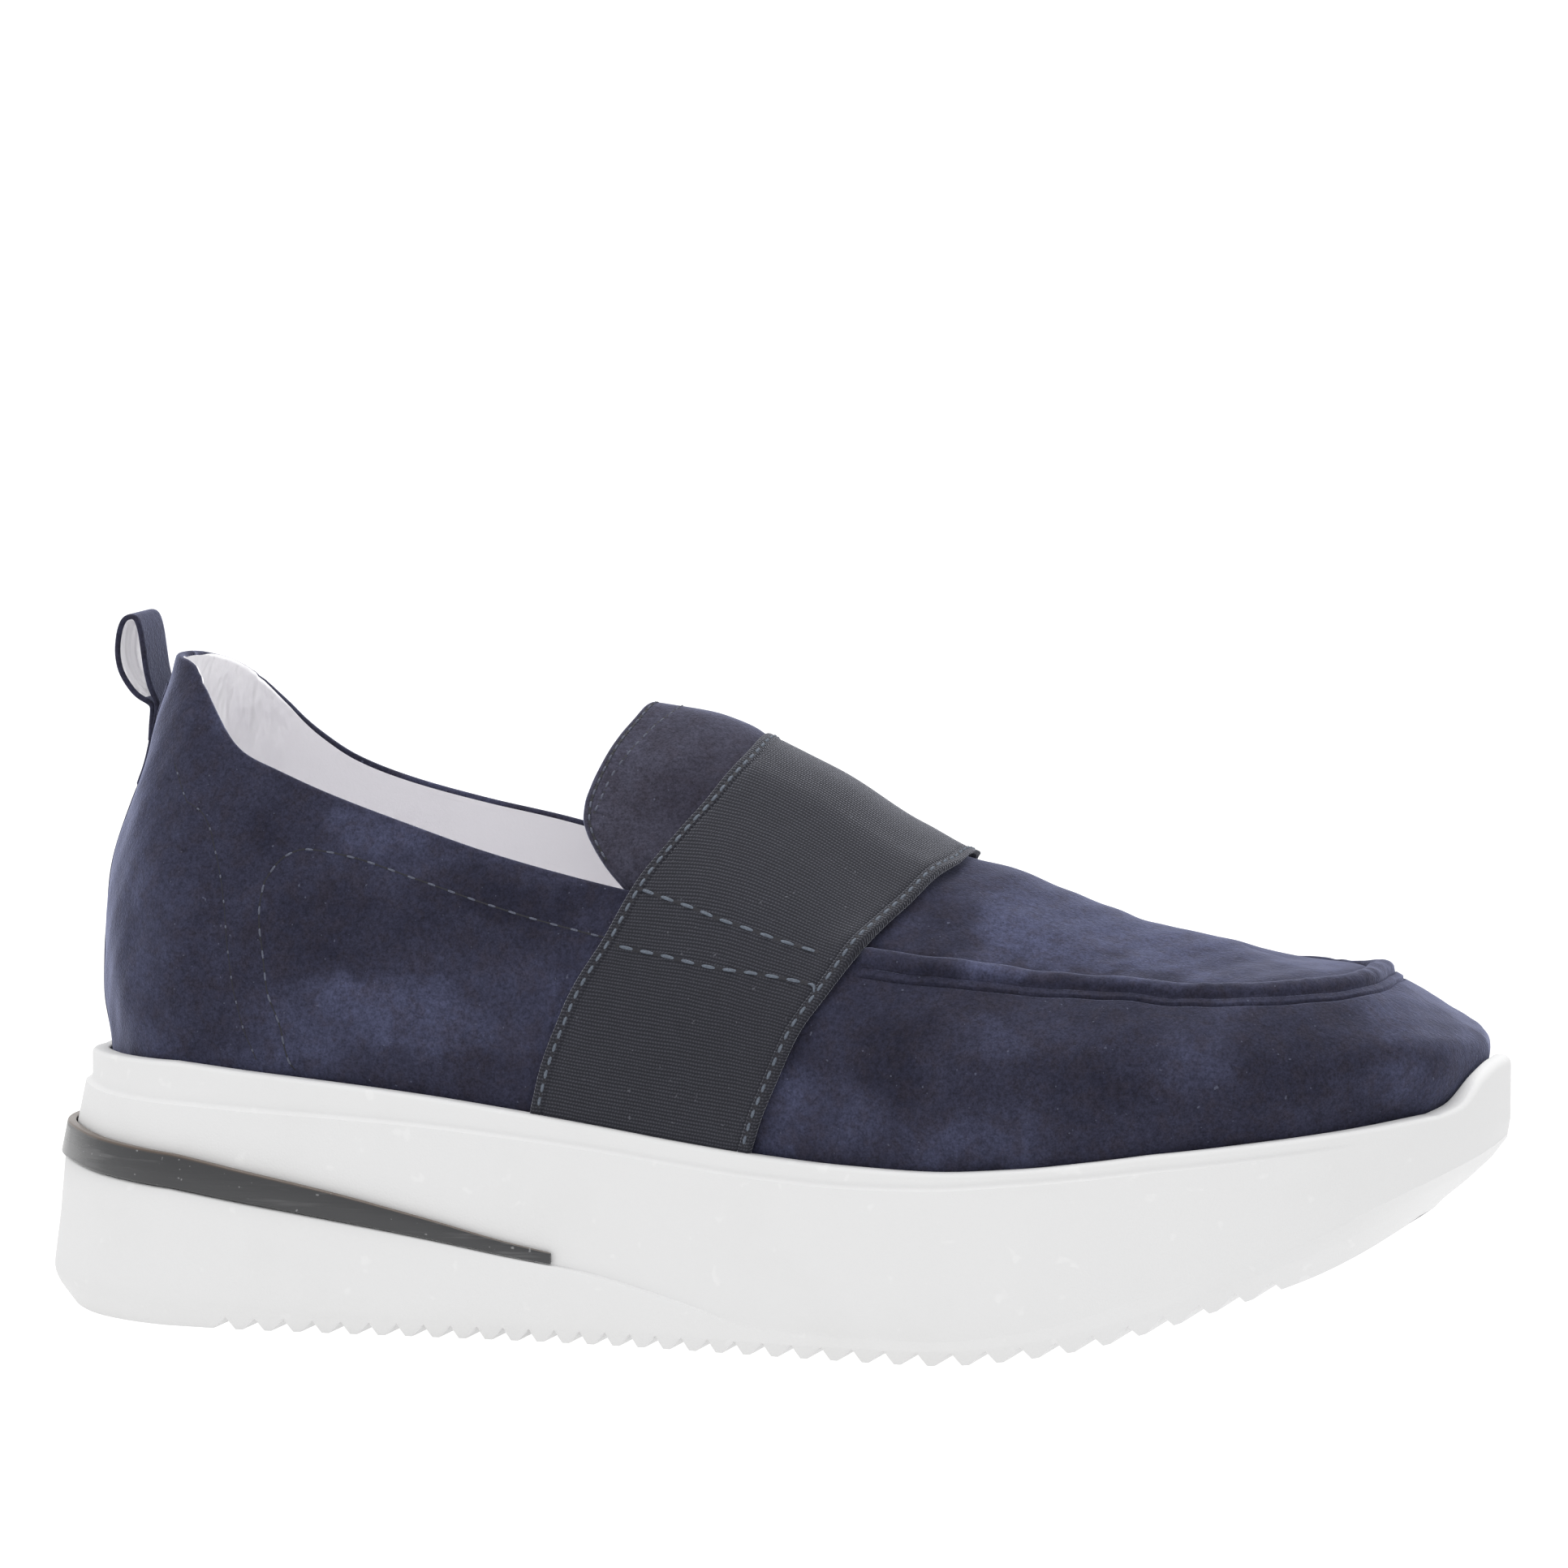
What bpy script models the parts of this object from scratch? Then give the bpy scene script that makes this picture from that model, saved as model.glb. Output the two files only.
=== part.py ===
"""Platform loafer, right shoe: CAD source of its seven pieces.

Metres, +X to the toe, +Y to the medial side, +Z up, the floor at z = 0.
The tables give lengths as shares of the named sizes, so one size can change alone.
"""

import math
from collections import namedtuple

import bmesh
import bpy
import numpy as np

# Sizes that drive the shoe, in millimetres
LENGTH = 272.0
BALL_WIDTH = 94.5
PLATFORM = 46.5
TOP_LINE = 119.5
WALL = 1.8
RIM_DEPTH = 4.0
FIT_GAP = 0.45
SEAT_GAP = 0.3
INSOLE_THICK = 3.0
INSOLE_BEVEL = 0.4
TONGUE_THICK = 1.8
TONGUE_GAP = 1.2
STRAP_THICK = 1.6
STRAP_RISE = 0.45
STRAP_FOOT = 0.9
BAND_GAP = 0.3
BAND_LEAST = 1.2
BAND_BEVEL = 0.3
BAND_SHORT = 0.1
RIDGE_RISE = 1.6
RIDGE_HALF = 2.5
GROOVE_DEPTH = 0.7
GROOVE_HALF = 0.6
RIM_ROUND = 0.9
BUMPER_RISE = 8.0
TREAD_COUNT = 36
TREAD_DEPTH = 2.3
TREAD_LAND = 1.3
BAR_BELOW = 1.5
LOOP_WIDTH = 12.5
LOOP_THICK = 1.3
LOOP_GAP = 0.7
LOOP_SLIT = 0.3

# The two points that the heel and toe sections turn about, along the length
HEEL_TURN = 34.0 / 272.0
TOE_TURN = 218.0 / 272.0

Section = namedtuple("Section", "along lateral medial spine rim groove ledge band crown")
Fan = namedtuple("Fan", "turn lateral medial rim groove ledge band crown")
Flare = namedtuple("Flare", "place below ledge_in ledge_out low edge low_rise stand")
Profile = namedtuple("Profile", "place reach height")
Point = namedtuple("Point", "along value")
Edge = namedtuple("Edge", "place lateral medial")

# Sections square to the length. Widths are shares of BALL_WIDTH from the middle line,
# sole heights shares of PLATFORM, crown heights shares of TOP_LINE.
SECTIONS = (
    Section(0.1250, 0.362, 0.343, 0.000, 1.024, 0.873, 0.499, 0.658, 1.000),
    Section(0.1838, 0.383, 0.358, 0.000, 0.994, 0.858, 0.462, 0.604, 0.996),
    Section(0.2426, 0.386, 0.349, 0.000, 0.963, 0.843, 0.417, 0.548, 0.987),
    Section(0.3015, 0.387, 0.339, 0.000, 0.927, 0.822, 0.366, 0.480, 0.977),
    Section(0.3603, 0.392, 0.337, 0.000, 0.884, 0.791, 0.310, 0.396, 0.963),
    Section(0.4191, 0.406, 0.345, 0.002, 0.839, 0.757, 0.271, 0.290, 0.934),
    Section(0.4779, 0.434, 0.366, 0.006, 0.796, 0.718, 0.191, 0.210, 0.893),
    Section(0.5368, 0.468, 0.398, 0.013, 0.763, 0.688, 0.108, 0.130, 0.823),
    Section(0.5956, 0.499, 0.432, 0.021, 0.742, 0.673, 0.097, 0.120, 0.749),
    Section(0.6544, 0.521, 0.459, 0.029, 0.735, 0.680, 0.097, 0.120, 0.697),
    Section(0.7132, 0.524, 0.476, 0.035, 0.757, 0.710, 0.140, 0.160, 0.651),
    Section(0.7574, 0.511, 0.478, 0.039, 0.787, 0.738, 0.204, 0.230, 0.618),
    Section(0.8015, 0.485, 0.466, 0.042, 0.822, 0.770, 0.297, 0.320, 0.597),
)

# Sections that turn round the heel: 0 degrees is straight back, 90 square to the side.
# Widths are shares of BALL_WIDTH from the turning point.
HEEL_FAN = (
    Fan(0.0, 0.2645, 0.2645, 1.000, 0.892, 0.546, 0.701, 1.000),
    Fan(35.0, 0.2780, 0.2750, 1.011, 0.889, 0.538, 0.697, 1.000),
    Fan(65.0, 0.3160, 0.3050, 1.020, 0.880, 0.518, 0.682, 1.000),
    Fan(90.0, 0.3620, 0.3430, 1.024, 0.873, 0.499, 0.658, 1.000),
)

# Sections that turn round the toe: 0 degrees is square to the side, 90 straight ahead
TOE_FAN = (
    Fan(0.0, 0.527, 0.4233, 0.822, 0.770, 0.297, 0.320, 0.597),
    Fan(22.0, 0.511, 0.4320, 0.865, 0.815, 0.420, 0.440, 0.597),
    Fan(45.0, 0.519, 0.4730, 0.905, 0.855, 0.590, 0.610, 0.597),
    Fan(66.0, 0.548, 0.5420, 0.938, 0.875, 0.720, 0.740, 0.597),
    Fan(90.0, 0.5714, 0.5714, 0.944, 0.885, 0.815, 0.830, 0.597),
)

# Distances outside the rim, in millimetres, of the sole wall's lines. place runs
# from -1 at the back of the heel over 0 and 1 at the turning points to 2 at the toe.
FLARES = (
    Flare(-1.00, 1.4, 4.6, 6.6, 8.2, 4.6, 4.5, 3.2),
    Flare(-0.50, 1.1, 3.2, 5.2, 6.4, 3.9, 4.2, 3.6),
    Flare(0.00, 0.8, 2.0, 3.9, 4.8, 3.3, 3.5, 4.0),
    Flare(0.26, 0.5, 1.2, 2.6, 3.4, 2.4, 2.6, 4.0),
    Flare(0.39, 0.4, 1.0, 2.0, 2.8, 2.0, 2.3, 4.0),
    Flare(0.60, 0.3, 0.9, 1.1, 1.8, 1.2, 2.2, 4.0),
    Flare(0.85, 0.3, 0.7, 0.7, 1.2, 0.6, 2.6, 4.0),
    Flare(1.00, 0.2, 0.4, 0.4, 0.8, 0.0, 3.4, 4.0),
    Flare(1.50, 0.0, -0.2, -0.2, -2.0, -5.5, 5.0, 4.8),
    Flare(2.00, 0.0, -0.6, -0.6, -8.6, -18.0, 7.4, 7.5),
)

# Shape of the upper from its foot to its crown: reach as a share of the foot's
# distance from the middle, height as a share of the rise to the crown.
PROFILES = (
    Profile(-1.000, (1, 1.050, 1.060, 1.03, 0.935, 0.780, 0.61, 0.475, 0.375),
            (0, 0.13, 0.25, 0.38, 0.52, 0.66, 0.78, 0.90, 1)),
    Profile(0.000, (1, 1.040, 1.060, 1.04, 0.98, 0.88, 0.76, 0.64, 0.52),
            (0, 0.13, 0.25, 0.38, 0.52, 0.66, 0.78, 0.90, 1)),
    Profile(0.260, (1, 1.040, 1.055, 1.03, 0.97, 0.88, 0.78, 0.64, 0.45),
            (0, 0.12, 0.24, 0.37, 0.50, 0.63, 0.76, 0.89, 1)),
    Profile(0.413, (1, 1.035, 1.045, 1.01, 0.94, 0.83, 0.66, 0.38, 0),
            (0, 0.12, 0.24, 0.38, 0.50, 0.62, 0.76, 0.91, 1)),
    Profile(0.609, (1, 1.030, 1.035, 1.00, 0.91, 0.77, 0.56, 0.29, 0),
            (0, 0.13, 0.27, 0.42, 0.56, 0.70, 0.84, 0.96, 1)),
    Profile(0.848, (1, 1.030, 1.040, 1.01, 0.92, 0.78, 0.58, 0.32, 0),
            (0, 0.15, 0.31, 0.46, 0.59, 0.70, 0.80, 0.93, 1)),
    Profile(1.000, (1, 1.035, 1.045, 1.02, 0.94, 0.80, 0.62, 0.34, 0),
            (0, 0.17, 0.34, 0.50, 0.64, 0.76, 0.84, 0.92, 1)),
    Profile(2.000, (1, 1.055, 1.085, 1.065, 0.95, 0.765, 0.58, 0.30, 0),
            (0, 0.24, 0.40, 0.52, 0.63, 0.78, 0.85, 0.895, 1)),
)

# Underside of the sole along the length, as shares of PLATFORM
GROUND = (
    Point(0.000, 0.0), Point(0.654, 0.0), Point(0.684, 0.010), Point(0.713, 0.032),
    Point(0.757, 0.077), Point(0.801, 0.148), Point(0.842, 0.228), Point(0.868, 0.277),
    Point(0.901, 0.348), Point(0.934, 0.452), Point(0.967, 0.611),
)

# Height of the collar's edge as a share of TOP_LINE
COLLAR = (
    Edge(-1.000, 1.000, 1.000), Edge(-0.620, 0.998, 0.998), Edge(-0.250, 0.989, 0.987),
    Edge(-0.060, 0.976, 0.970), Edge(0.000, 0.951, 0.944), Edge(0.013, 0.940, 0.932),
    Edge(0.035, 0.895, 0.889), Edge(0.055, 0.864, 0.858), Edge(0.091, 0.835, 0.820),
    Edge(0.143, 0.804, 0.790), Edge(0.228, 0.762, 0.758), Edge(0.312, 0.723, 0.732),
    Edge(0.394, 0.692, 0.703), Edge(0.451, 0.675, 0.684), Edge(0.470, 0.670, 0.678),
)

# Where the opening's edge climbs to the crown under the strap: share of the
# upper's own height line, by place
THROAT = (
    Point(0.470, 0.600), Point(0.490, 0.635), Point(0.515, 0.700), Point(0.540, 0.765),
    Point(0.570, 0.845), Point(0.600, 0.925), Point(0.630, 1.000),
)

# Where the apron seam runs: share of the upper's height line, by place
SEAM = (
    Point(0.630, 0.560), Point(0.694, 0.585), Point(0.810, 0.645), Point(0.900, 0.685),
    Point(0.967, 0.698), Point(1.150, 0.682), Point(1.300, 0.668), Point(1.500, 0.668),
    Point(1.750, 0.685), Point(2.000, 0.700),
)
SEAM_START = 0.699
SEAM_FULL = 0.710

# Rows of the raised seam: share of its half width from its middle, share of its rise
RIDGE_ROWS = ((-0.55, 0.80), (0.10, 1.00), (0.60, 0.75))
SEAM_REACH = 0.04
ROWS_BELOW = 7
ROWS_ABOVE = 5

# Rows of the upper behind the seam stay at this share of the way to the opening
QUARTER_SEAM = 0.62

# Strap edges: along the length, by the share of the way from foot to crown
STRAP_REAR = (
    Point(0.00, 0.3722), Point(0.14, 0.3820), Point(0.27, 0.3957), Point(0.43, 0.4190),
    Point(0.60, 0.4410), Point(0.70, 0.4620), Point(0.79, 0.4800), Point(0.87, 0.4900),
    Point(0.94, 0.4930), Point(1.00, 0.4935),
)
STRAP_FRONT = (
    Point(0.00, 0.5300), Point(0.10, 0.5385), Point(0.19, 0.5485), Point(0.32, 0.5632),
    Point(0.44, 0.5798), Point(0.59, 0.5976), Point(0.70, 0.6105), Point(0.80, 0.6228),
    Point(0.88, 0.6312), Point(0.94, 0.6365), Point(1.00, 0.6375),
)

# Free edge of the tongue: along the length, by the share of the upper's height line
TONGUE_EDGE = (
    Point(0.610, 0.4300), Point(0.650, 0.4168), Point(0.680, 0.4083), Point(0.706, 0.4022),
    Point(0.735, 0.3984), Point(0.760, 0.3980), Point(0.795, 0.3998), Point(0.840, 0.4036),
    Point(0.890, 0.4084), Point(0.945, 0.4140), Point(1.000, 0.4205),
)
TONGUE_START = 0.615
TONGUE_BEHIND = 0.01
TONGUE_LINES = 8
STRAP_LINES = 15
SHEET_PLACES = 6

# Where the footbed's cross section bends, as a share of its half width
INSOLE_BEND = 0.55

# Pitch of the tread along the length, and where the tread starts and ends
TREAD_PITCH = (Point(0.154, 5.6), Point(0.404, 4.8), Point(0.680, 6.3), Point(0.882, 5.6))
TREAD_START = 0.154
TREAD_END = 0.882

# Tread notches: where the root lies from the rear tip to the front one, and half the
# cutting bars' width as a share of BALL_WIDTH
NOTCH_LEAN = 0.62
BAR_HALF = 0.75

# Rise of the toe bumper above the rim, by place
BUMPER = (Point(1.71, 0.0), Point(1.78, 0.15), Point(1.87, 0.74), Point(1.94, 0.95), Point(2.0, 1.0))

# Sole wall: least step between two rows, the ledge's slope where the band has ended,
# how far the wall's middle keeps the ledge's reach, and the rows of the underside
LEAST_STEP = 0.02
LEDGE_DROP = 0.25
LEDGE_ENDS = (0.39, 0.45)
WALL_BULGE = 0.6
UNDER_SHARES = (0.84, 0.62, 0.36)

# Depth of the rim's groove by place, as a share of GROOVE_DEPTH
GROOVE_FADE = (Point(-1.0, 1.0), Point(1.30, 1.0), Point(1.60, 0.0), Point(2.0, 0.0))

# Heel band: place of its tips, where it starts to thin and how thin it ends, and how
# far its middle and its top stand out as shares of its thickness
BAND_TIP = 0.392
BAND_THINS = 0.30
BAND_TIP_SHARE = 0.45
BAND_MIDDLE_OUT = 1.06
BAND_TOP_OUT = 0.92
BAND_TOP_CUT = 0.35

# Free part of the pull loop: distance ahead of the heel's back and height, as shares
# of TOP_LINE
LOOP_FREE = (
    (0.1760, 0.940), (0.1710, 0.968), (0.1670, 0.998), (0.1610, 1.025), (0.1500, 1.046),
    (0.1370, 1.045), (0.1275, 1.022), (0.1260, 0.992), (0.1330, 0.962), (0.1470, 0.937),
)
LOOP_STEM = (0.830, 0.860, 0.890, 0.912)
LOOP_TAIL = 0.885

# Places of the sections that every ring of faces goes through
HEEL_STEPS = 8
TOE_STEPS = 9
MIDDLE_PLACES = (
    0.0, 0.035, 0.070, 0.110, 0.165, 0.228, 0.300, 0.372, 0.430, 0.470, 0.490, 0.515,
    0.540, 0.570, 0.600, 0.630, 0.666, 0.699, 0.710, 0.745, 0.790, 0.835, 0.885, 0.940, 1.0,
)

MATERIALS = {
    "sole_unit": ((0.78, 0.78, 0.78), 0.55, 0.0),
    "heel_band": ((0.07, 0.07, 0.08), 0.30, 0.0),
    "upper": ((0.035, 0.036, 0.062), 0.90, 0.0),
    "insole": ((0.62, 0.60, 0.64), 0.60, 0.0),
    "tongue": ((0.040, 0.040, 0.066), 0.90, 0.0),
    "strap": ((0.048, 0.049, 0.056), 0.85, 0.0),
    "pull_loop": ((0.038, 0.038, 0.062), 0.90, 0.0),
}


def smooth(xs, ys, x):
    """Monotone cubic through the points (xs, ys), held level past both ends."""
    xs = np.asarray(xs, dtype=float)
    ys = np.asarray(ys, dtype=float)
    if x <= xs[0]:
        return float(ys[0])
    if x >= xs[-1]:
        return float(ys[-1])
    step = np.diff(xs)
    slope = np.diff(ys) / step
    tangent = np.zeros(len(xs))
    tangent[0] = slope[0]
    tangent[-1] = slope[-1]
    for k in range(1, len(xs) - 1):
        if slope[k - 1] * slope[k] > 0:
            w_1 = 2 * step[k] + step[k - 1]
            w_2 = step[k] + 2 * step[k - 1]
            tangent[k] = (w_1 + w_2) / (w_1 / slope[k - 1] + w_2 / slope[k])
    k = int(np.searchsorted(xs, x) - 1)
    u = (x - xs[k]) / step[k]
    a = (1 + 2 * u) * (1 - u) ** 2
    b = u * (1 - u) ** 2
    c = u * u * (3 - 2 * u)
    d = u * u * (u - 1)
    return float(a * ys[k] + b * step[k] * tangent[k] + c * ys[k + 1] + d * step[k] * tangent[k + 1])


def read(points, x):
    """Value of a table of points at x."""
    return smooth([p.along for p in points], [p.value for p in points], x)


def column(rows, key, name, x):
    """Value of one named column of a table at x."""
    return smooth([getattr(r, key) for r in rows], [getattr(r, name) for r in rows], x)


def edge_at(rows, side, place):
    """Value of a table of edges on one side of the shoe."""
    return column(rows, "place", "lateral" if side < 0 else "medial", place)


def along_of(place):
    """Share of the length at a place between the two turning points."""
    return HEEL_TURN + place * (TOE_TURN - HEEL_TURN)


def place_of(along):
    """Place of a share of the length between the two turning points."""
    return (along - HEEL_TURN) / (TOE_TURN - HEEL_TURN)


def ground_at(s):
    """Height of the sole's underside at s millimetres from the heel's back."""
    return read(GROUND, s / LENGTH) * PLATFORM


class Station:
    """One upright section of the shoe: where it stands, which way it faces, its sizes."""

    def __init__(self, side, place):
        self.side = side
        self.place = place
        which = "lateral" if side < 0 else "medial"
        if place < 0:
            turn = 90 * (1 + place)
            rows, key, at = HEEL_FAN, "turn", turn
            self.origin = (HEEL_TURN * LENGTH, 0.0)
            self.facing = (-math.cos(math.radians(turn)), side * math.sin(math.radians(turn)))
            self.rim_reach = column(rows, key, which, at) * BALL_WIDTH
        elif place > 1:
            turn = 90 * (place - 1)
            rows, key, at = TOE_FAN, "turn", turn
            self.origin = (TOE_TURN * LENGTH, SECTIONS[-1].spine * BALL_WIDTH)
            self.facing = (math.sin(math.radians(turn)), side * math.cos(math.radians(turn)))
            self.rim_reach = column(rows, key, which, at) * BALL_WIDTH
        else:
            rows, key, at = SECTIONS, "along", along_of(place)
            spine = column(rows, key, "spine", at) * BALL_WIDTH
            self.origin = (at * LENGTH, spine)
            self.facing = (0.0, float(side))
            self.rim_reach = column(rows, key, which, at) * BALL_WIDTH - side * spine
        self.base_rim = column(rows, key, "rim", at) * PLATFORM
        self.rim = self.base_rim + read(BUMPER, place) * BUMPER_RISE
        self.groove = column(rows, key, "groove", at) * PLATFORM
        self.ledge = column(rows, key, "ledge", at) * PLATFORM
        self.band = column(rows, key, "band", at) * PLATFORM
        self.crown = column(rows, key, "crown", at) * TOP_LINE
        self.floor = self.base_rim - RIM_DEPTH
        self.foot = self.floor + SEAT_GAP
        self.foot_reach = self.rim_reach - column(FLARES, "place", "stand", place)
        reaches = []
        heights = []
        for k in range(len(PROFILES[0].reach)):
            places = [p.place for p in PROFILES]
            reaches.append(smooth(places, [p.reach[k] for p in PROFILES], place))
            heights.append(smooth(places, [p.height[k] for p in PROFILES], place))
        self.reaches = reaches
        self.heights = heights
        self.knots = np.linspace(0, 1, len(reaches))

    def spot(self, reach, z):
        """Point of this section's plane at a distance from the middle and a height."""
        return np.array((
            self.origin[0] + reach * self.facing[0],
            self.origin[1] + reach * self.facing[1],
            z,
        ))

    def reach_at(self, t):
        """Upper's distance from the middle at share t of its height line."""
        return bend(self.knots, self.reaches, t) * self.foot_reach

    def height_at(self, t):
        """Upper's height at share t of its height line."""
        return self.foot + smooth(self.knots, self.heights, t) * (self.crown - self.foot)

    def share_at(self, z):
        """Share of the height line at which the upper reaches height z."""
        low, high = 0.0, 1.0
        for _ in range(30):
            middle = 0.5 * (low + high)
            if self.height_at(middle) < z:
                low = middle
            else:
                high = middle
        return 0.5 * (low + high)

    def upper_point(self, t):
        """Point of the upper's outer face."""
        return self.spot(self.reach_at(t), self.height_at(t))


def bend(xs, ys, x):
    """Smooth curve through evenly spaced points that may rise and fall."""
    last = len(xs) - 1
    u = min(max(x, 0.0), 1.0) * last
    k = min(int(u), last - 1)
    f = u - k
    p_1, p_2 = ys[k], ys[k + 1]
    p_0 = ys[k - 1] if k > 0 else 2 * p_1 - p_2
    p_3 = ys[k + 2] if k + 2 <= last else 2 * p_2 - p_1
    return 0.5 * (2 * p_1 + (p_2 - p_0) * f + (2 * p_0 - 5 * p_1 + 4 * p_2 - p_3) * f * f
                  + (3 * p_1 - p_0 - 3 * p_2 + p_3) * f ** 3)


def outward(side, place, t):
    """Unit normal of the upper's outer face, pointing out of the shoe."""
    step_t = 0.02
    step_p = 0.02
    t_low, t_high = max(t - step_t, 0.0), min(t + step_t, 1.0)
    if t > 0.999 and place > 0.4:
        ahead = min(place, 1.0)
        back_end = Station(side, ahead - step_p)
        front_end = Station(side, min(ahead + step_p, 1.0))
        run = front_end.origin[0] - back_end.origin[0]
        slope = (front_end.crown - back_end.crown) / run
        normal = np.array((-slope, 0.0, 1.0))
        return normal / np.linalg.norm(normal)
    station = Station(side, place)
    up = station.upper_point(t_high) - station.upper_point(t_low)
    before, after = max(place - step_p, -1.0), min(place + step_p, 2.0)
    first, second = Station(side, before), Station(side, after)
    if before == -1.0 and place - step_p < -1.0:
        across = np.array((0.0, side, 0.0))
    elif after == 2.0 and place + step_p > 2.0:
        across = np.array((0.0, -side, 0.0))
    else:
        across = second.upper_point(t) - first.upper_point(t)
    normal = np.cross(across, up)
    normal = normal / np.linalg.norm(normal)
    if np.dot(normal, np.array((*station.facing, 1.0))) < 0:
        normal = -normal
    return normal


def skin(side, place, t, rise=0.0):
    """Point at a distance out of the upper's outer face."""
    point = Station(side, place).upper_point(t)
    if rise == 0.0:
        return point
    return point + rise * outward(side, place, t)


def ring_places():
    """Side and place of each section, once round the shoe from the heel's back."""
    heel = [-1 + k / HEEL_STEPS for k in range(HEEL_STEPS)]
    toe = [1 + k / TOE_STEPS for k in range(1, TOE_STEPS + 1)]
    half = heel + list(MIDDLE_PLACES) + toe
    ring = [(-1, p) for p in half]
    ring += [(1, p) for p in reversed(half[1:-1])]
    return ring


def opening_share(station):
    """Share of the height line where the upper ends: its collar, its throat or the crown."""
    if station.place < THROAT[0].along:
        return station.share_at(edge_at(COLLAR, station.side, station.place) * TOP_LINE)
    return read(THROAT, station.place)


def upper_rows(station):
    """Shares of the height line and rises of the upper's rows, foot first."""
    end = opening_share(station)
    if station.place >= SEAM[0].along:
        seam = read(SEAM, station.place)
        low = station.upper_point(seam - SEAM_REACH)
        high = station.upper_point(seam + SEAM_REACH)
        half = RIDGE_HALF * 2 * SEAM_REACH / float(np.linalg.norm(high - low))
    else:
        seam = QUARTER_SEAM * end
        half = SEAM_REACH * end
    fade = smooth((SEAM_START, SEAM_FULL), (0.0, 1.0), station.place)
    rise = RIDGE_RISE * fade
    rows = [(t, 0.0) for t in np.linspace(0, seam - half, ROWS_BELOW)]
    rows += [(seam + at * half, share * rise) for at, share in RIDGE_ROWS]
    rows += [(t, 0.0) for t in np.linspace(seam + half, end, ROWS_ABOVE)]
    return rows


def add_object(name, verts, faces, collection, material=True):
    """Closed mesh object from points in millimetres, welded and turned outward."""
    mesh = bpy.data.meshes.new(name)
    scaled = [((v[0] - 0.5 * LENGTH) / 1000, v[1] / 1000, v[2] / 1000) for v in verts]
    mesh.from_pydata(scaled, [], faces)
    work = bmesh.new()
    work.from_mesh(mesh)
    bmesh.ops.remove_doubles(work, verts=work.verts, dist=2e-6)
    bmesh.ops.dissolve_degenerate(work, edges=work.edges, dist=1e-7)
    bmesh.ops.triangulate(work, faces=[f for f in work.faces if len(f.verts) > 3])
    bmesh.ops.recalc_face_normals(work, faces=work.faces)
    if work.calc_volume(signed=True) < 0:
        bmesh.ops.reverse_faces(work, faces=work.faces)
    work.to_mesh(mesh)
    work.free()
    part = bpy.data.objects.new(name, mesh)
    collection.objects.link(part)
    if material:
        colour, roughness, metallic = MATERIALS[name]
        surface = bpy.data.materials.new(name)
        surface.use_nodes = True
        shader = surface.node_tree.nodes["Principled BSDF"]
        shader.inputs["Base Color"].default_value = (*colour, 1)
        shader.inputs["Roughness"].default_value = roughness
        shader.inputs["Metallic"].default_value = metallic
        mesh.materials.append(surface)
    return part


def sheet_solid(outer, inner, closed=False, rims=(True, True, True, True)):
    """Points and faces of a solid between two grids of the same size.

    The rims are the first row, the last row, the first line and the last line.
    """
    lines = len(outer)
    rows = len(outer[0])
    verts = [p for line in outer for p in line] + [p for line in inner for p in line]
    shift = lines * rows
    faces = []
    spans = lines if closed else lines - 1
    for i in range(spans):
        j = (i + 1) % lines
        for r in range(rows - 1):
            a, b = i * rows + r, j * rows + r
            faces.append((a, b, b + 1, a + 1))
            faces.append((shift + a, shift + a + 1, shift + b + 1, shift + b))
        for r, wanted in ((0, rims[0]), (rows - 1, rims[1])):
            if wanted is True or (wanted and wanted[i]):
                a, b = i * rows + r, j * rows + r
                faces.append((a, shift + a, shift + b, b))
    if not closed:
        for i, wanted in ((0, rims[2]), (lines - 1, rims[3])):
            if wanted:
                for r in range(rows - 1):
                    a = i * rows + r
                    faces.append((a, a + 1, shift + a + 1, shift + a))
    return verts, faces


def build_upper(collection):
    """Hollow upper with the raised apron seam, open at the collar and underneath."""
    outer = []
    inner = []
    is_open = []
    for side, place in ring_places():
        station = Station(side, place)
        rows = upper_rows(station)
        outer.append([skin(side, place, t, rise) for t, rise in rows])
        inner.append([skin(side, place, t, -WALL) for t, _ in rows])
        is_open.append(opening_share(station) < 0.9995)
    count = len(outer)
    top_rim = [is_open[i] or is_open[(i + 1) % count] for i in range(count)]
    verts, faces = sheet_solid(outer, inner, closed=True, rims=(True, top_rim, False, False))
    return add_object("upper", verts, faces, collection)


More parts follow.
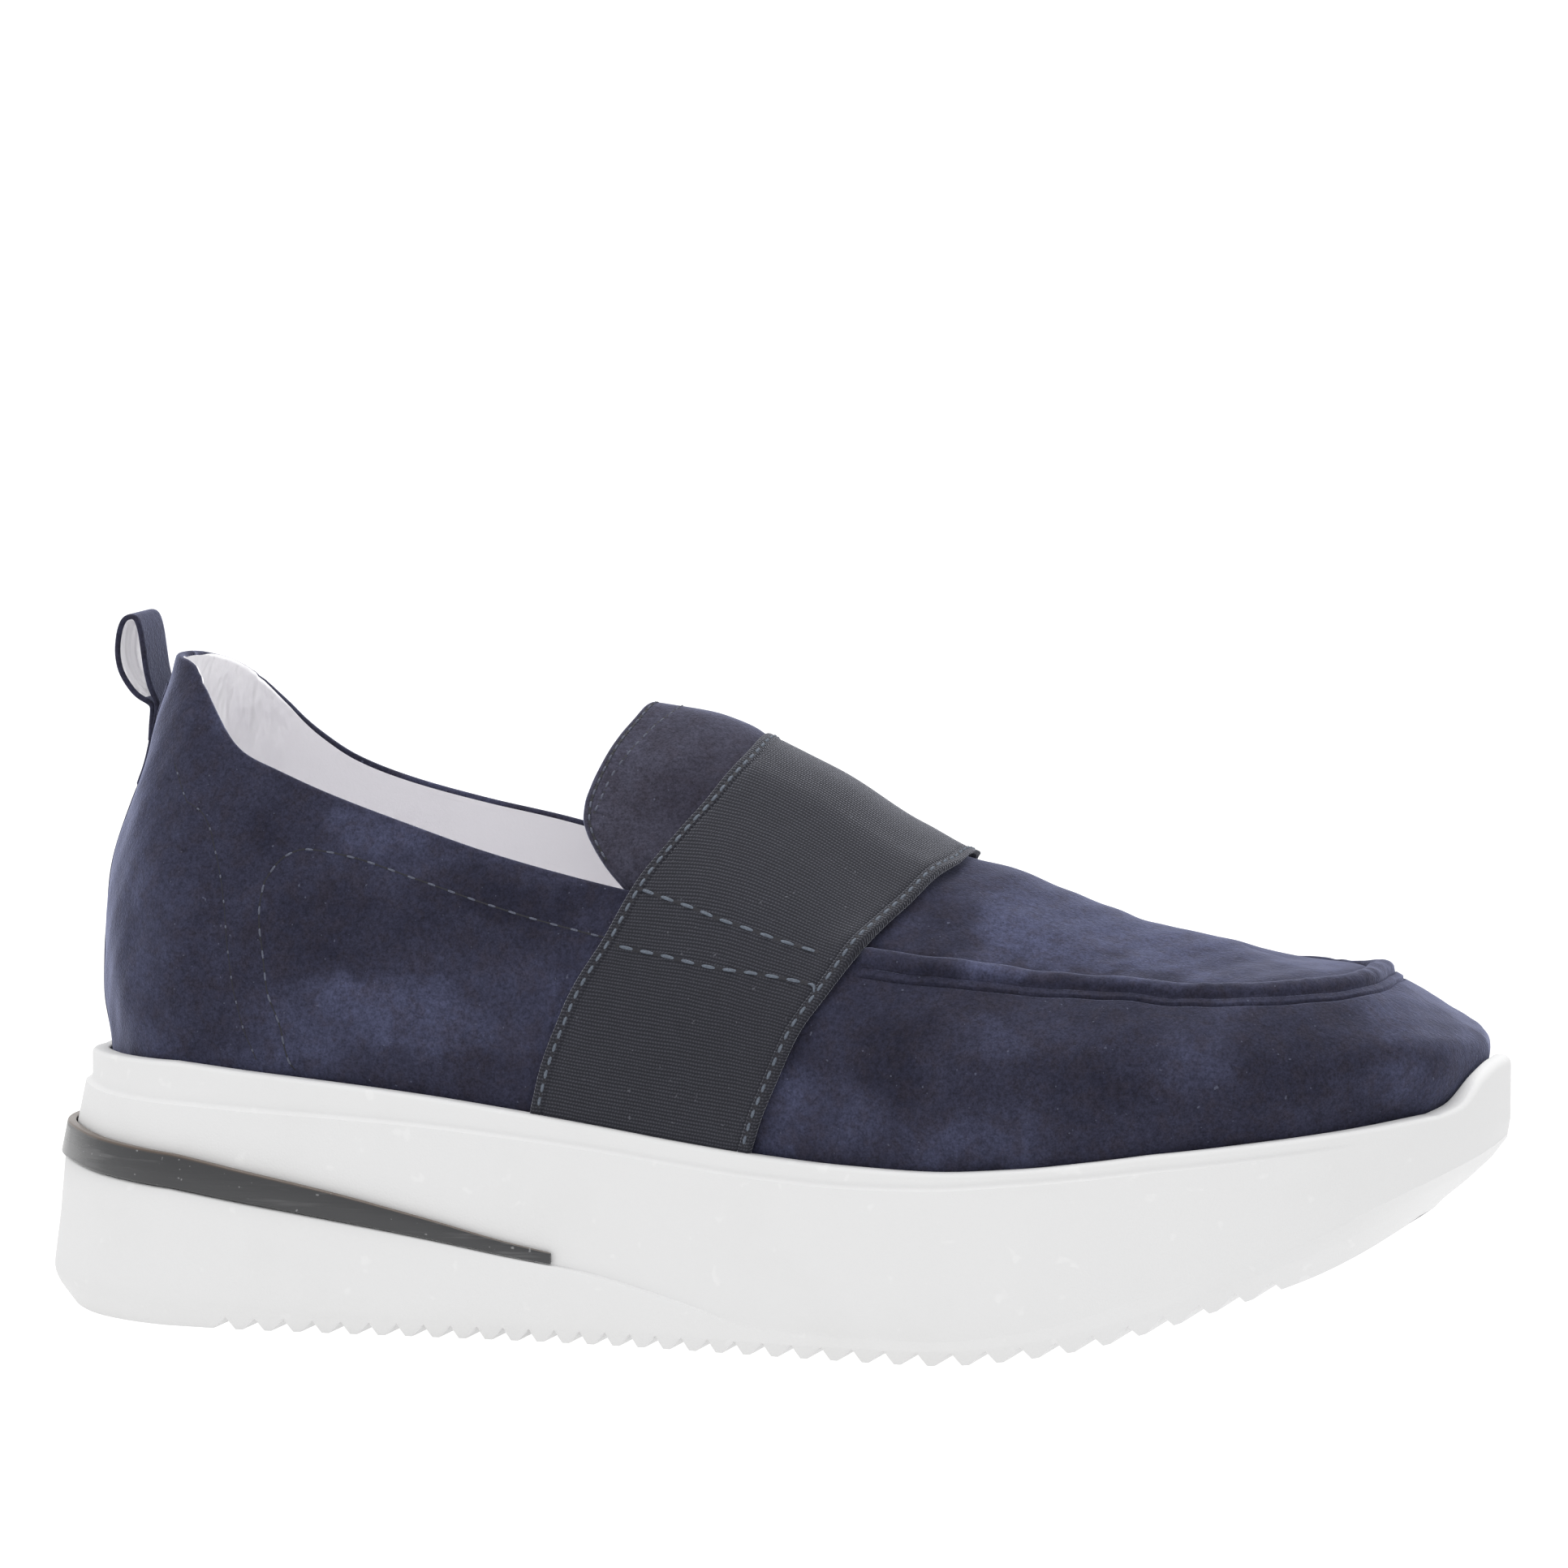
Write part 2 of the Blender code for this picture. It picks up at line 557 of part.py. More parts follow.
def sole_rows(station):
    """Reach and height of the sole's rows, from the cup's middle round to the underside's."""
    place = station.place
    rim_reach = station.rim_reach

    def flare(name):
        return column(FLARES, "place", name, place)

    def cup(z):
        return station.reach_at(station.share_at(z)) + FIT_GAP

    fade = read(GROOVE_FADE, place)
    middle = 0.5 * (station.floor + station.rim)
    rows = [(0.0, None)]
    rows.append((station.foot_reach + FIT_GAP, station.floor))
    rows.append((cup(middle), middle))
    rows.append((cup(station.rim), station.rim))
    corner = RIM_ROUND * (1 + read(BUMPER, place))
    rows.append((rim_reach - corner, station.rim))
    rows.append((rim_reach, station.rim - corner))
    groove = station.groove
    rows.append((rim_reach, groove + GROOVE_HALF))
    rows.append((rim_reach - GROOVE_DEPTH * fade + 0.5 * flare("below"), groove))
    rows.append((rim_reach + flare("below"), groove - GROOVE_HALF))
    rows.append((rim_reach + flare("ledge_in"), station.ledge))
    out = max(flare("ledge_out"), flare("ledge_in") + LEAST_STEP)
    drop = LEAST_STEP + LEDGE_DROP * smooth(LEDGE_ENDS, (0, 1), place)
    rows.append((rim_reach + out, station.ledge - drop))
    edge = rim_reach + flare("edge")
    edge_z = ground_at(station.origin[0] + edge * station.facing[0])
    low_z = edge_z + flare("low_rise")
    bulge = WALL_BULGE * out + (1 - WALL_BULGE) * flare("low")
    rows.append((rim_reach + bulge, 0.5 * (station.ledge + low_z)))
    rows.append((rim_reach + flare("low"), low_z))
    rows.append((edge, edge_z))
    for share in UNDER_SHARES:
        reach = share * edge
        rows.append((reach, ground_at(station.origin[0] + reach * station.facing[0])))
    rows.append((0.0, None))
    return rows


def floor_at_origin(station):
    """Height of the cup's floor on the middle line."""
    along = station.origin[0] / LENGTH
    return column(SECTIONS, "along", "rim", along) * PLATFORM - RIM_DEPTH


def build_sole(collection, cutters):
    """One-piece platform: cup, rim, groove, band ledge, flared wall and tread."""
    lines = []
    for side, place in ring_places():
        station = Station(side, place)
        rows = sole_rows(station)
        line = [station.spot(0.0, floor_at_origin(station))]
        line += [station.spot(reach, z) for reach, z in rows[1:-1]]
        line.append(station.spot(0.0, ground_at(station.origin[0])))
        lines.append(line)
    count = len(lines)
    rows = len(lines[0])
    verts = [p for line in lines for p in line]
    faces = []
    for i in range(count):
        j = (i + 1) % count
        for r in range(rows - 1):
            faces.append((i * rows + r, j * rows + r, j * rows + r + 1, i * rows + r + 1))
    sole = add_object("sole_unit", verts, faces, collection)
    cutter = build_tread_cutter(cutters)
    cut = sole.modifiers.new("tread", "BOOLEAN")
    cut.operation = "DIFFERENCE"
    cut.solver = "EXACT"
    cut.object = cutter
    return sole


def tread_lines():
    """Distances from the heel's back of the tread's tips."""
    start, end = TREAD_START * LENGTH, TREAD_END * LENGTH
    tips = [start]
    for _ in range(TREAD_COUNT):
        tips.append(tips[-1] + read(TREAD_PITCH, tips[-1] / LENGTH))
    scale = (end - start) / (tips[-1] - start)
    return [start + (s - start) * scale for s in tips]


def build_tread_cutter(collection):
    """Row of three-sided bars that cut the notches between the tread's tips."""
    tips = tread_lines()
    half_width = BAR_HALF * BALL_WIDTH
    verts = []
    faces = []
    for k in range(len(tips) - 1):
        first = tips[k] + 0.5 * TREAD_LAND
        second = tips[k + 1] - 0.5 * TREAD_LAND
        root = first + NOTCH_LEAN * (second - first)
        z_first = ground_at(first)
        z_second = ground_at(second)
        z_root = ground_at(root) + TREAD_DEPTH
        share_first = BAR_BELOW / (z_root - z_first)
        share_second = BAR_BELOW / (z_root - z_second)
        corners = (
            (first - (root - first) * share_first, z_first - BAR_BELOW),
            (root, z_root),
            (second + (second - root) * share_second, z_second - BAR_BELOW),
        )
        base = len(verts)
        for y in (-half_width, half_width):
            verts += [(s, y, z) for s, z in corners]
        faces += [(base, base + 1, base + 2), (base + 3, base + 5, base + 4)]
        for a, b in ((0, 1), (1, 2), (2, 0)):
            faces.append((base + a, base + 3 + a, base + 3 + b, base + b))
    cutter = add_object("tread_cutter", verts, faces, collection, material=False)
    cutter.hide_render = True
    cutter.display_type = "WIRE"
    return cutter


def build_band(collection):
    """Dark strip round the heel that stands on the sole's ledge and thins to both tips."""
    half = [-1 + k / HEEL_STEPS for k in range(HEEL_STEPS)]
    half += [p for p in MIDDLE_PLACES if p < BAND_TIP] + [BAND_TIP]
    ring = [(-1, p) for p in reversed(half)] + [(1, p) for p in half[1:]]
    outer = []
    inner = []
    for side, place in ring:
        station = Station(side, place)

        def flare(name):
            return column(FLARES, "place", name, place)

        foot_in = flare("ledge_in")
        foot_out = flare("ledge_out") - BAND_SHORT
        rise = station.groove - GROOVE_HALF - station.ledge
        bottom = station.ledge + BAND_GAP
        tip_share = smooth((BAND_THINS, BAND_TIP), (1.0, BAND_TIP_SHARE), place)
        top = bottom + max((station.band - station.ledge) * tip_share, BAND_LEAST)
        lean = (flare("below") - foot_in) / rise
        thick = foot_out - foot_in - BAND_GAP
        inner_low = station.rim_reach + foot_in + BAND_GAP
        inner_high = inner_low + lean * (top - bottom)
        top_out = inner_high + BAND_TOP_OUT * thick
        middle = 0.5 * (bottom + top)
        middle_in = 0.5 * (inner_low + inner_high)
        outer.append([
            station.spot(inner_low + thick, bottom),
            station.spot(middle_in + BAND_MIDDLE_OUT * thick, middle),
            station.spot(top_out, top - BAND_BEVEL),
            station.spot(top_out - BAND_TOP_CUT * thick, top),
        ])
        inner.append([
            station.spot(inner_low, bottom),
            station.spot(middle_in, middle),
            station.spot(inner_high - lean * BAND_BEVEL, top - BAND_BEVEL),
            station.spot(inner_high, top),
        ])
    verts, faces = sheet_solid(outer, inner)
    return add_object("heel_band", verts, faces, collection)


def build_insole(collection):
    """Footbed that lies in the cup inside the upper."""
    lines_top = []
    lines_low = []
    for side, place in ring_places():
        station = Station(side, place)
        low = station.floor + SEAT_GAP
        edge = station.foot_reach - WALL - FIT_GAP
        middle = floor_at_origin(station) + SEAT_GAP
        lines_top.append([
            station.spot(0.0, middle + INSOLE_THICK),
            station.spot(INSOLE_BEND * edge, 0.5 * (low + middle) + INSOLE_THICK),
            station.spot(edge - INSOLE_BEVEL, low + INSOLE_THICK),
        ])
        lines_low.append([
            station.spot(0.0, middle),
            station.spot(INSOLE_BEND * edge, 0.5 * (low + middle)),
            station.spot(edge, low),
        ])
    verts, faces = sheet_solid(lines_top, lines_low, closed=True, rims=(False, True, False, False))
    return add_object("insole", verts, faces, collection)


def throat_place(t):
    """Place at which the opening's edge under the strap is at share t."""
    low, high = THROAT[0].along, THROAT[-1].along
    for _ in range(30):
        middle = 0.5 * (low + high)
        if read(THROAT, middle) < t:
            low = middle
        else:
            high = middle
    return 0.5 * (low + high)


def build_tongue(collection):
    """Tongue that fills the throat under the strap and stands up behind it as a tab."""
    shares = list(np.linspace(TONGUE_START, 1.0, TONGUE_LINES))
    lines = [(-1, t) for t in shares] + [(1, t) for t in reversed(shares[:-1])]
    gap = TONGUE_GAP / ((TOE_TURN - HEEL_TURN) * LENGTH)
    outer = []
    inner = []
    for side, t in lines:
        rear = place_of(read(TONGUE_EDGE, t))
        front = throat_place(t - TONGUE_BEHIND) - gap
        places = np.linspace(rear, front, SHEET_PLACES)
        outer.append([skin(side, p, t, 0.0) for p in places])
        inner.append([skin(side, p, t, -TONGUE_THICK) for p in places])
    verts, faces = sheet_solid(outer, inner)
    return add_object("tongue", verts, faces, collection)


def build_strap(collection):
    """Elastic band from the rim on one side over the instep to the rim on the other."""
    ways = list(np.linspace(0.0, 1.0, STRAP_LINES))
    lines = [(-1, w) for w in ways] + [(1, w) for w in reversed(ways[:-1])]
    outer = []
    inner = []
    for side, way in lines:
        rear = place_of(read(STRAP_REAR, way))
        front = place_of(read(STRAP_FRONT, way))
        out_line = []
        in_line = []
        for place in np.linspace(rear, front, SHEET_PLACES):
            station = Station(side, place)
            start = station.share_at(station.rim + STRAP_FOOT)
            t = start + way * (1 - start)
            in_line.append(skin(side, place, t, STRAP_RISE))
            out_line.append(skin(side, place, t, STRAP_RISE + STRAP_THICK))
        outer.append(out_line)
        inner.append(in_line)
    verts, faces = sheet_solid(outer, inner)
    return add_object("strap", verts, faces, collection)


def loop_path():
    """Middle line of the pull loop's strip, up the front strand and down the rear one."""
    back = Station(-1, -1.0)
    front_strand = []
    rear_strand = []
    for share in LOOP_STEM:
        z = share * TOP_LINE
        t = back.share_at(z)
        point = skin(-1, -1.0, t)
        normal = outward(-1, -1.0, t)
        near = point + normal * (LOOP_GAP + 0.5 * LOOP_THICK)
        far = point + normal * (LOOP_GAP + 1.5 * LOOP_THICK + LOOP_SLIT)
        front_strand.append((near[0], near[2]))
        if share > LOOP_TAIL:
            rear_strand.append((far[0], far[2]))
    free = [(a * TOP_LINE, b * TOP_LINE) for a, b in LOOP_FREE]
    return front_strand + free + list(reversed(rear_strand))


def build_loop(collection):
    """Pull loop: one strip doubled back on itself behind the heel's top."""
    path = loop_path()
    outer = []
    inner = []
    for k, (s, z) in enumerate(path):
        before = path[max(k - 1, 0)]
        after = path[min(k + 1, len(path) - 1)]
        run = np.array((after[0] - before[0], after[1] - before[1]))
        run = run / np.linalg.norm(run)
        side = np.array((run[1], -run[0])) * 0.5 * LOOP_THICK
        half = 0.5 * LOOP_WIDTH
        outer.append([(s + side[0], -half, z + side[1]), (s + side[0], half, z + side[1])])
        inner.append([(s - side[0], -half, z - side[1]), (s - side[0], half, z - side[1])])
    verts, faces = sheet_solid(outer, inner)
    return add_object("pull_loop", verts, faces, collection)


def shift_points(part, move):
    """Move every point of a mesh object by (x, y, z) metres."""
    for vertex in part.data.vertices:
        vertex.co.x += move[0]
        vertex.co.y += move[1]
        vertex.co.z += move[2]


def centring_move(parts):
    """Move that stands the box round all the pieces on the origin."""
    corners = [v.co for part in parts for v in part.data.vertices]
    low = [min(c[k] for c in corners) for k in range(3)]
    high = [max(c[k] for c in corners) for k in range(3)]
    return (-0.5 * (low[0] + high[0]), -0.5 * (low[1] + high[1]), 0.0)


def main():
    """Clear the scene and build every piece."""
    for old in list(bpy.data.objects):
        bpy.data.objects.remove(old, do_unlink=True)
    shoe = bpy.data.collections.new("platform_loafer")
    cutters = bpy.data.collections.new("cutters")
    bpy.context.scene.collection.children.link(shoe)
    bpy.context.scene.collection.children.link(cutters)
    build_sole(shoe, cutters)
    build_band(shoe)
    build_upper(shoe)
    build_insole(shoe)
    build_tongue(shoe)
    build_strap(shoe)
    build_loop(shoe)
    move = centring_move(shoe.objects)
    for part in list(shoe.objects) + list(cutters.objects):
        shift_points(part, move)


main()
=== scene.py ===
"""Looks of a right platform loafer in navy suede on a white platform sole.

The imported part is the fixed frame. Each piece here is built from the same tables of
lengths as the part's source, with finer steps, and dressed with its own finish.
"""

import logging
import math
from dataclasses import dataclass, field
from enum import Enum
from typing import Any, NamedTuple, Sequence, Union

import bmesh
import bpy
import numpy as np
from mathutils import Matrix, Vector


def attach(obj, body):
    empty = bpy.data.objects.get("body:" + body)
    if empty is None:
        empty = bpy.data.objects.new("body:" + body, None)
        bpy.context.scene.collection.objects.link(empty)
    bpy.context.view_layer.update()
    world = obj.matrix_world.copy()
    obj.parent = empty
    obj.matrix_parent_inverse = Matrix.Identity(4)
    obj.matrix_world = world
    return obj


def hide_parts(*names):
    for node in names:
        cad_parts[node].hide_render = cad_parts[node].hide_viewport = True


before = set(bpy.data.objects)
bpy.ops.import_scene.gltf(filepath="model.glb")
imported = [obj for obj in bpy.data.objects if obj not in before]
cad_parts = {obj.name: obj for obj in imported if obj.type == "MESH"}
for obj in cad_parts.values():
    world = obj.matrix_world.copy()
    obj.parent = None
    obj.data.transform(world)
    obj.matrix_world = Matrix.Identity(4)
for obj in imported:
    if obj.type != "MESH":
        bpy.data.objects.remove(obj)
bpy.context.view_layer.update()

LOG = logging.getLogger("platform_loafer")
Array = np.ndarray
Colour = tuple[float, float, float]
Row = tuple[Array, Array]

MM = 0.001

# Sizes that drive the shoe, in millimetres
LENGTH = 272.0
BALL_WIDTH = 94.5
PLATFORM = 46.5
TOP_LINE = 119.5
WALL = 1.8
RIM_DEPTH = 4.0
SEAT_GAP = 0.3
FIT_GAP = 0.45
INSOLE_THICK = 3.0

# Where the tables' zero lies in the frame, in millimetres ahead and aside
AHEAD = -136.401
ASIDE = 2.269

# The two points that the heel and toe sections turn about, along the length
HEEL_TURN = 34.0 / 272.0
TOE_TURN = 218.0 / 272.0


class Side(Enum):
    """The shoe's two sides."""

    LATERAL = -1
    MEDIAL = 1


class Section(NamedTuple):
    """Section square to the length, as shares of the named sizes."""

    along: float
    lateral: float
    medial: float
    spine: float
    rim: float
    groove: float
    ledge: float
    crown: float


class Fan(NamedTuple):
    """Section that turns round the heel or the toe."""

    turn: float
    lateral: float
    medial: float
    rim: float
    groove: float
    ledge: float
    crown: float


class Flare(NamedTuple):
    """Distances outside the rim of the sole wall's lines, in millimetres."""

    place: float
    below: float
    ledge_in: float
    ledge_out: float
    low: float
    edge: float
    low_rise: float
    stand: float


class Profile(NamedTuple):
    """Shape of the upper from its foot to its crown."""

    place: float
    reach: tuple[float, ...]
    height: tuple[float, ...]


class Edge(NamedTuple):
    """A height or share on each side of the shoe."""

    place: float
    lateral: float
    medial: float


SECTIONS = (
    Section(0.1250, 0.362, 0.343, 0.000, 1.024, 0.873, 0.538, 1.000),
    Section(0.1838, 0.383, 0.358, 0.000, 0.994, 0.858, 0.488, 0.996),
    Section(0.2426, 0.386, 0.349, 0.000, 0.963, 0.843, 0.436, 0.987),
    Section(0.3015, 0.387, 0.339, 0.000, 0.927, 0.822, 0.381, 0.977),
    Section(0.3603, 0.392, 0.337, 0.000, 0.884, 0.791, 0.322, 0.963),
    Section(0.4191, 0.406, 0.345, 0.002, 0.839, 0.757, 0.271, 0.934),
    Section(0.4779, 0.434, 0.366, 0.006, 0.796, 0.718, 0.191, 0.893),
    Section(0.5368, 0.468, 0.398, 0.013, 0.763, 0.688, 0.108, 0.823),
    Section(0.5956, 0.499, 0.432, 0.021, 0.742, 0.673, 0.097, 0.749),
    Section(0.6544, 0.521, 0.459, 0.029, 0.735, 0.680, 0.097, 0.697),
    Section(0.7132, 0.524, 0.476, 0.035, 0.757, 0.710, 0.140, 0.651),
    Section(0.7574, 0.511, 0.478, 0.039, 0.787, 0.738, 0.204, 0.618),
    Section(0.8015, 0.485, 0.466, 0.042, 0.822, 0.770, 0.297, 0.597),
)

HEEL_FAN = (
    Fan(0.0, 0.2645, 0.2645, 1.000, 0.892, 0.589, 1.000),
    Fan(35.0, 0.2780, 0.2750, 1.011, 0.889, 0.581, 1.000),
    Fan(65.0, 0.3160, 0.3050, 1.020, 0.880, 0.560, 1.000),
    Fan(90.0, 0.3620, 0.3430, 1.024, 0.873, 0.538, 1.000),
)

TOE_FAN = (
    Fan(0.0, 0.527, 0.4233, 0.822, 0.770, 0.297, 0.597),
    Fan(22.0, 0.511, 0.4320, 0.865, 0.815, 0.420, 0.597),
    Fan(45.0, 0.519, 0.4730, 0.905, 0.855, 0.590, 0.597),
    Fan(66.0, 0.548, 0.5420, 0.938, 0.875, 0.720, 0.597),
    Fan(90.0, 0.5714, 0.5714, 0.944, 0.885, 0.815, 0.597),
)

FLARES = (
    Flare(-1.00, 1.4, 4.6, 5.7, 8.2, 3.6, 5.4, 3.2),
    Flare(-0.50, 1.1, 3.2, 4.4, 6.4, 3.1, 4.9, 3.6),
    Flare(0.00, 0.8, 2.0, 3.3, 4.8, 3.0, 3.8, 4.0),
    Flare(0.26, 0.5, 1.2, 2.2, 3.4, 2.4, 2.6, 4.0),
    Flare(0.39, 0.4, 1.0, 2.0, 2.8, 2.0, 2.3, 4.0),
    Flare(0.60, 0.3, 0.9, 1.1, 1.8, 1.2, 2.2, 4.0),
    Flare(0.85, 0.3, 0.7, 0.7, 1.2, 0.6, 2.6, 4.0),
    Flare(1.00, 0.2, 0.4, 0.4, 0.8, 0.0, 3.4, 4.0),
    Flare(1.50, 0.0, -0.2, -0.2, -2.0, -5.5, 5.0, 4.8),
    Flare(2.00, 0.0, -0.6, -0.6, -8.6, -18.0, 7.4, 7.5),
)

PROFILES = (
    Profile(-1.000, (1, 1.050, 1.060, 1.03, 0.935, 0.780, 0.61, 0.475, 0.375),
            (0, 0.13, 0.25, 0.38, 0.52, 0.66, 0.78, 0.90, 1)),
    Profile(0.000, (1, 1.040, 1.060, 1.04, 0.98, 0.88, 0.76, 0.64, 0.52),
            (0, 0.13, 0.25, 0.38, 0.52, 0.66, 0.78, 0.90, 1)),
    Profile(0.260, (1, 1.040, 1.055, 1.03, 0.97, 0.88, 0.78, 0.64, 0.45),
            (0, 0.12, 0.24, 0.37, 0.50, 0.63, 0.76, 0.89, 1)),
    Profile(0.413, (1, 1.035, 1.045, 1.01, 0.94, 0.83, 0.66, 0.38, 0),
            (0, 0.12, 0.24, 0.38, 0.50, 0.62, 0.76, 0.91, 1)),
    Profile(0.609, (1, 1.030, 1.035, 1.00, 0.91, 0.77, 0.56, 0.29, 0),
            (0, 0.13, 0.27, 0.42, 0.56, 0.70, 0.84, 0.96, 1)),
    Profile(0.848, (1, 1.030, 1.040, 1.01, 0.92, 0.78, 0.58, 0.32, 0),
            (0, 0.15, 0.31, 0.46, 0.59, 0.70, 0.80, 0.93, 1)),
    Profile(1.000, (1, 1.035, 1.045, 1.02, 0.94, 0.80, 0.62, 0.34, 0),
            (0, 0.17, 0.34, 0.50, 0.64, 0.76, 0.84, 0.92, 1)),
    Profile(2.000, (1, 1.055, 1.085, 1.065, 0.95, 0.765, 0.58, 0.30, 0),
            (0, 0.24, 0.40, 0.52, 0.63, 0.78, 0.85, 0.895, 1)),
)

# Underside of the sole along the length, as shares of PLATFORM
GROUND = (
    (0.000, 0.0), (0.654, 0.0), (0.684, 0.010), (0.713, 0.032), (0.757, 0.077),
    (0.801, 0.148), (0.842, 0.228), (0.868, 0.277), (0.901, 0.348), (0.934, 0.452),
    (0.967, 0.611),
)

# Height of the collar's edge as a share of TOP_LINE
COLLAR = (
    Edge(-1.000, 1.000, 1.000), Edge(-0.620, 1.000, 0.996), Edge(-0.250, 0.997, 0.984),
    Edge(-0.100, 0.990, 0.970), Edge(-0.050, 0.980, 0.962), Edge(0.000, 0.966, 0.952),
    Edge(0.010, 0.945, 0.939), Edge(0.020, 0.922, 0.923), Edge(0.030, 0.900, 0.907),
    Edge(0.040, 0.882, 0.889), Edge(0.055, 0.864, 0.867), Edge(0.091, 0.841, 0.828),
    Edge(0.143, 0.810, 0.7975), Edge(0.228, 0.7665, 0.7655), Edge(0.312, 0.727, 0.7405),
    Edge(0.394, 0.696, 0.711), Edge(0.451, 0.678, 0.690), Edge(0.470, 0.673, 0.683),
)

# Where the opening's edge climbs to the crown under the strap: place, share
THROAT = (
    (0.470, 0.600), (0.490, 0.635), (0.515, 0.700), (0.540, 0.765), (0.570, 0.845),
    (0.600, 0.925), (0.630, 1.000),
)

# Where the apron seam runs: place, share of the upper's height line
SEAM = (
    (0.630, 0.560), (0.694, 0.585), (0.810, 0.645), (0.900, 0.685), (0.967, 0.698),
    (1.150, 0.682), (1.300, 0.668), (1.500, 0.668), (1.750, 0.685), (2.000, 0.700),
)

# Strap edges: share of the way from foot to crown, share of the length
STRAP_REAR = (
    (0.00, 0.3722), (0.14, 0.3820), (0.27, 0.3957), (0.43, 0.4190), (0.60, 0.4410),
    (0.70, 0.4620), (0.79, 0.4800), (0.87, 0.4900), (0.94, 0.4930), (1.00, 0.4935),
)
STRAP_FRONT = (
    (0.00, 0.5300), (0.10, 0.5385), (0.19, 0.5485), (0.32, 0.5632), (0.44, 0.5798),
    (0.59, 0.5976), (0.70, 0.6105), (0.80, 0.6228), (0.88, 0.6312), (0.94, 0.6365),
    (1.00, 0.6375),
)

# Free edge of the tongue: share of the height line, share of the length
TONGUE_EDGE = (
    (0.560, 0.4420), (0.610, 0.4280), (0.650, 0.4145), (0.680, 0.4060), (0.706, 0.4000),
    (0.735, 0.3962), (0.760, 0.3958), (0.795, 0.3978), (0.840, 0.4022), (0.890, 0.4078),
    (0.945, 0.4145), (1.000, 0.4180),
)

# Height of the heel band in millimetres by place, to its squared tip
BAND_TALL = (
    (-1.000, 6.0), (-0.300, 6.2), (0.000, 6.1), (0.080, 5.6), (0.180, 4.7), (0.230, 4.0),
    (0.280, 3.3), (0.330, 2.6), (0.392, 2.0),
)

# Distance of the band's outer face outside the rim, in millimetres by place
BAND_OUT = ((-1.00, 6.4), (-0.50, 5.1), (0.00, 3.8), (0.26, 2.5), (0.392, 1.9))

# Tread: pitch in millimetres along the length, its start and end
TREAD_PITCH = ((0.154, 5.6), (0.404, 4.8), (0.680, 6.3), (0.882, 5.6))
TREAD_START = 0.154
TREAD_END = 0.882
TREAD_COUNT = 36
TREAD_DEPTH = 2.3
TREAD_LAND = 1.3
NOTCH_LEAN = 0.62

# Rise of the toe bumper above the rim and depth of the rim's groove, by place
BUMPER = ((1.71, 0.0), (1.78, 0.15), (1.87, 0.74), (1.94, 0.95), (2.0, 1.0))
BUMPER_RISE = 8.0
GROOVE_FADE = ((-1.0, 1.0), (1.30, 1.0), (1.60, 0.0), (2.0, 0.0))

# Free part of the pull loop: distance ahead of the heel's back, height, of TOP_LINE
LOOP_FREE = (
    (0.1715, 0.945), (0.1650, 0.972), (0.1605, 1.003), (0.1560, 1.032), (0.1460, 1.054),
    (0.1335, 1.052), (0.1225, 1.030), (0.1190, 1.000), (0.1225, 0.975), (0.1340, 0.952),
    (0.1520, 0.931),
)

# Loop's sewn stem: height, of TOP_LINE, millimetres over the suede, and to the rear strand
LOOP_STEM = (
    (0.795, -1.10, 0.0), (0.830, -0.90, 0.0), (0.860, -0.35, 0.10), (0.890, 0.20, 0.55),
    (0.912, 0.35, 1.00),
)

# Stitch lines on the near side: place and share of the height line
QUARTER_LINE = (
    (0.480, 0.482), (0.434, 0.485), (0.368, 0.492), (0.316, 0.508), (0.249, 0.538),
    (0.178, 0.564), (0.154, 0.567), (0.131, 0.565), (0.108, 0.543), (0.095, 0.508),
    (0.089, 0.480), (0.086, 0.418), (0.091, 0.330), (0.095, 0.254), (0.107, 0.166),
    (0.116, 0.078), (0.122, 0.060),
)
COUNTER_LINE = (
    (-0.107, 0.720), (-0.030, 0.655), (0.019, 0.606), (0.035, 0.535), (0.046, 0.455),
    (0.054, 0.325), (0.060, 0.233), (0.069, 0.149), (0.082, 0.073),
)
TAB_LINE = (
    (0.411, 0.742), (0.415, 0.770), (0.421, 0.811), (0.435, 0.864), (0.450, 0.926),
    (0.461, 0.970), (0.464, 1.000),
)

# Stitch lines across the strap: place and share of the way from foot to crown
CROSS_UPPER = ((0.470, 0.576), (0.520, 0.546), (0.566, 0.526), (0.611, 0.523), (0.666, 0.532))
CROSS_LOWER = (
    (0.453, 0.435), (0.502, 0.426), (0.548, 0.418), (0.600, 0.431), (0.658, 0.448),
    (0.662, 0.409),
)


def ease(low: float, high: float, x: Array) -> Array:
    """Smooth step from 0 at low to 1 at high.

    Args:
        low: Where the step starts.
        high: Where it ends.
        x: Values to read it at.

    Returns:
        The step at each value.
    """
    u = np.clip((np.asarray(x, float) - low) / (high - low), 0.0, 1.0)
    return u * u * (3 - 2 * u)


def bell(x: Array, middle: float, width: float) -> Array:
    """Rounded bump of height 1 about the middle."""
    return np.exp(-(((np.asarray(x, float) - middle) / width) ** 2))


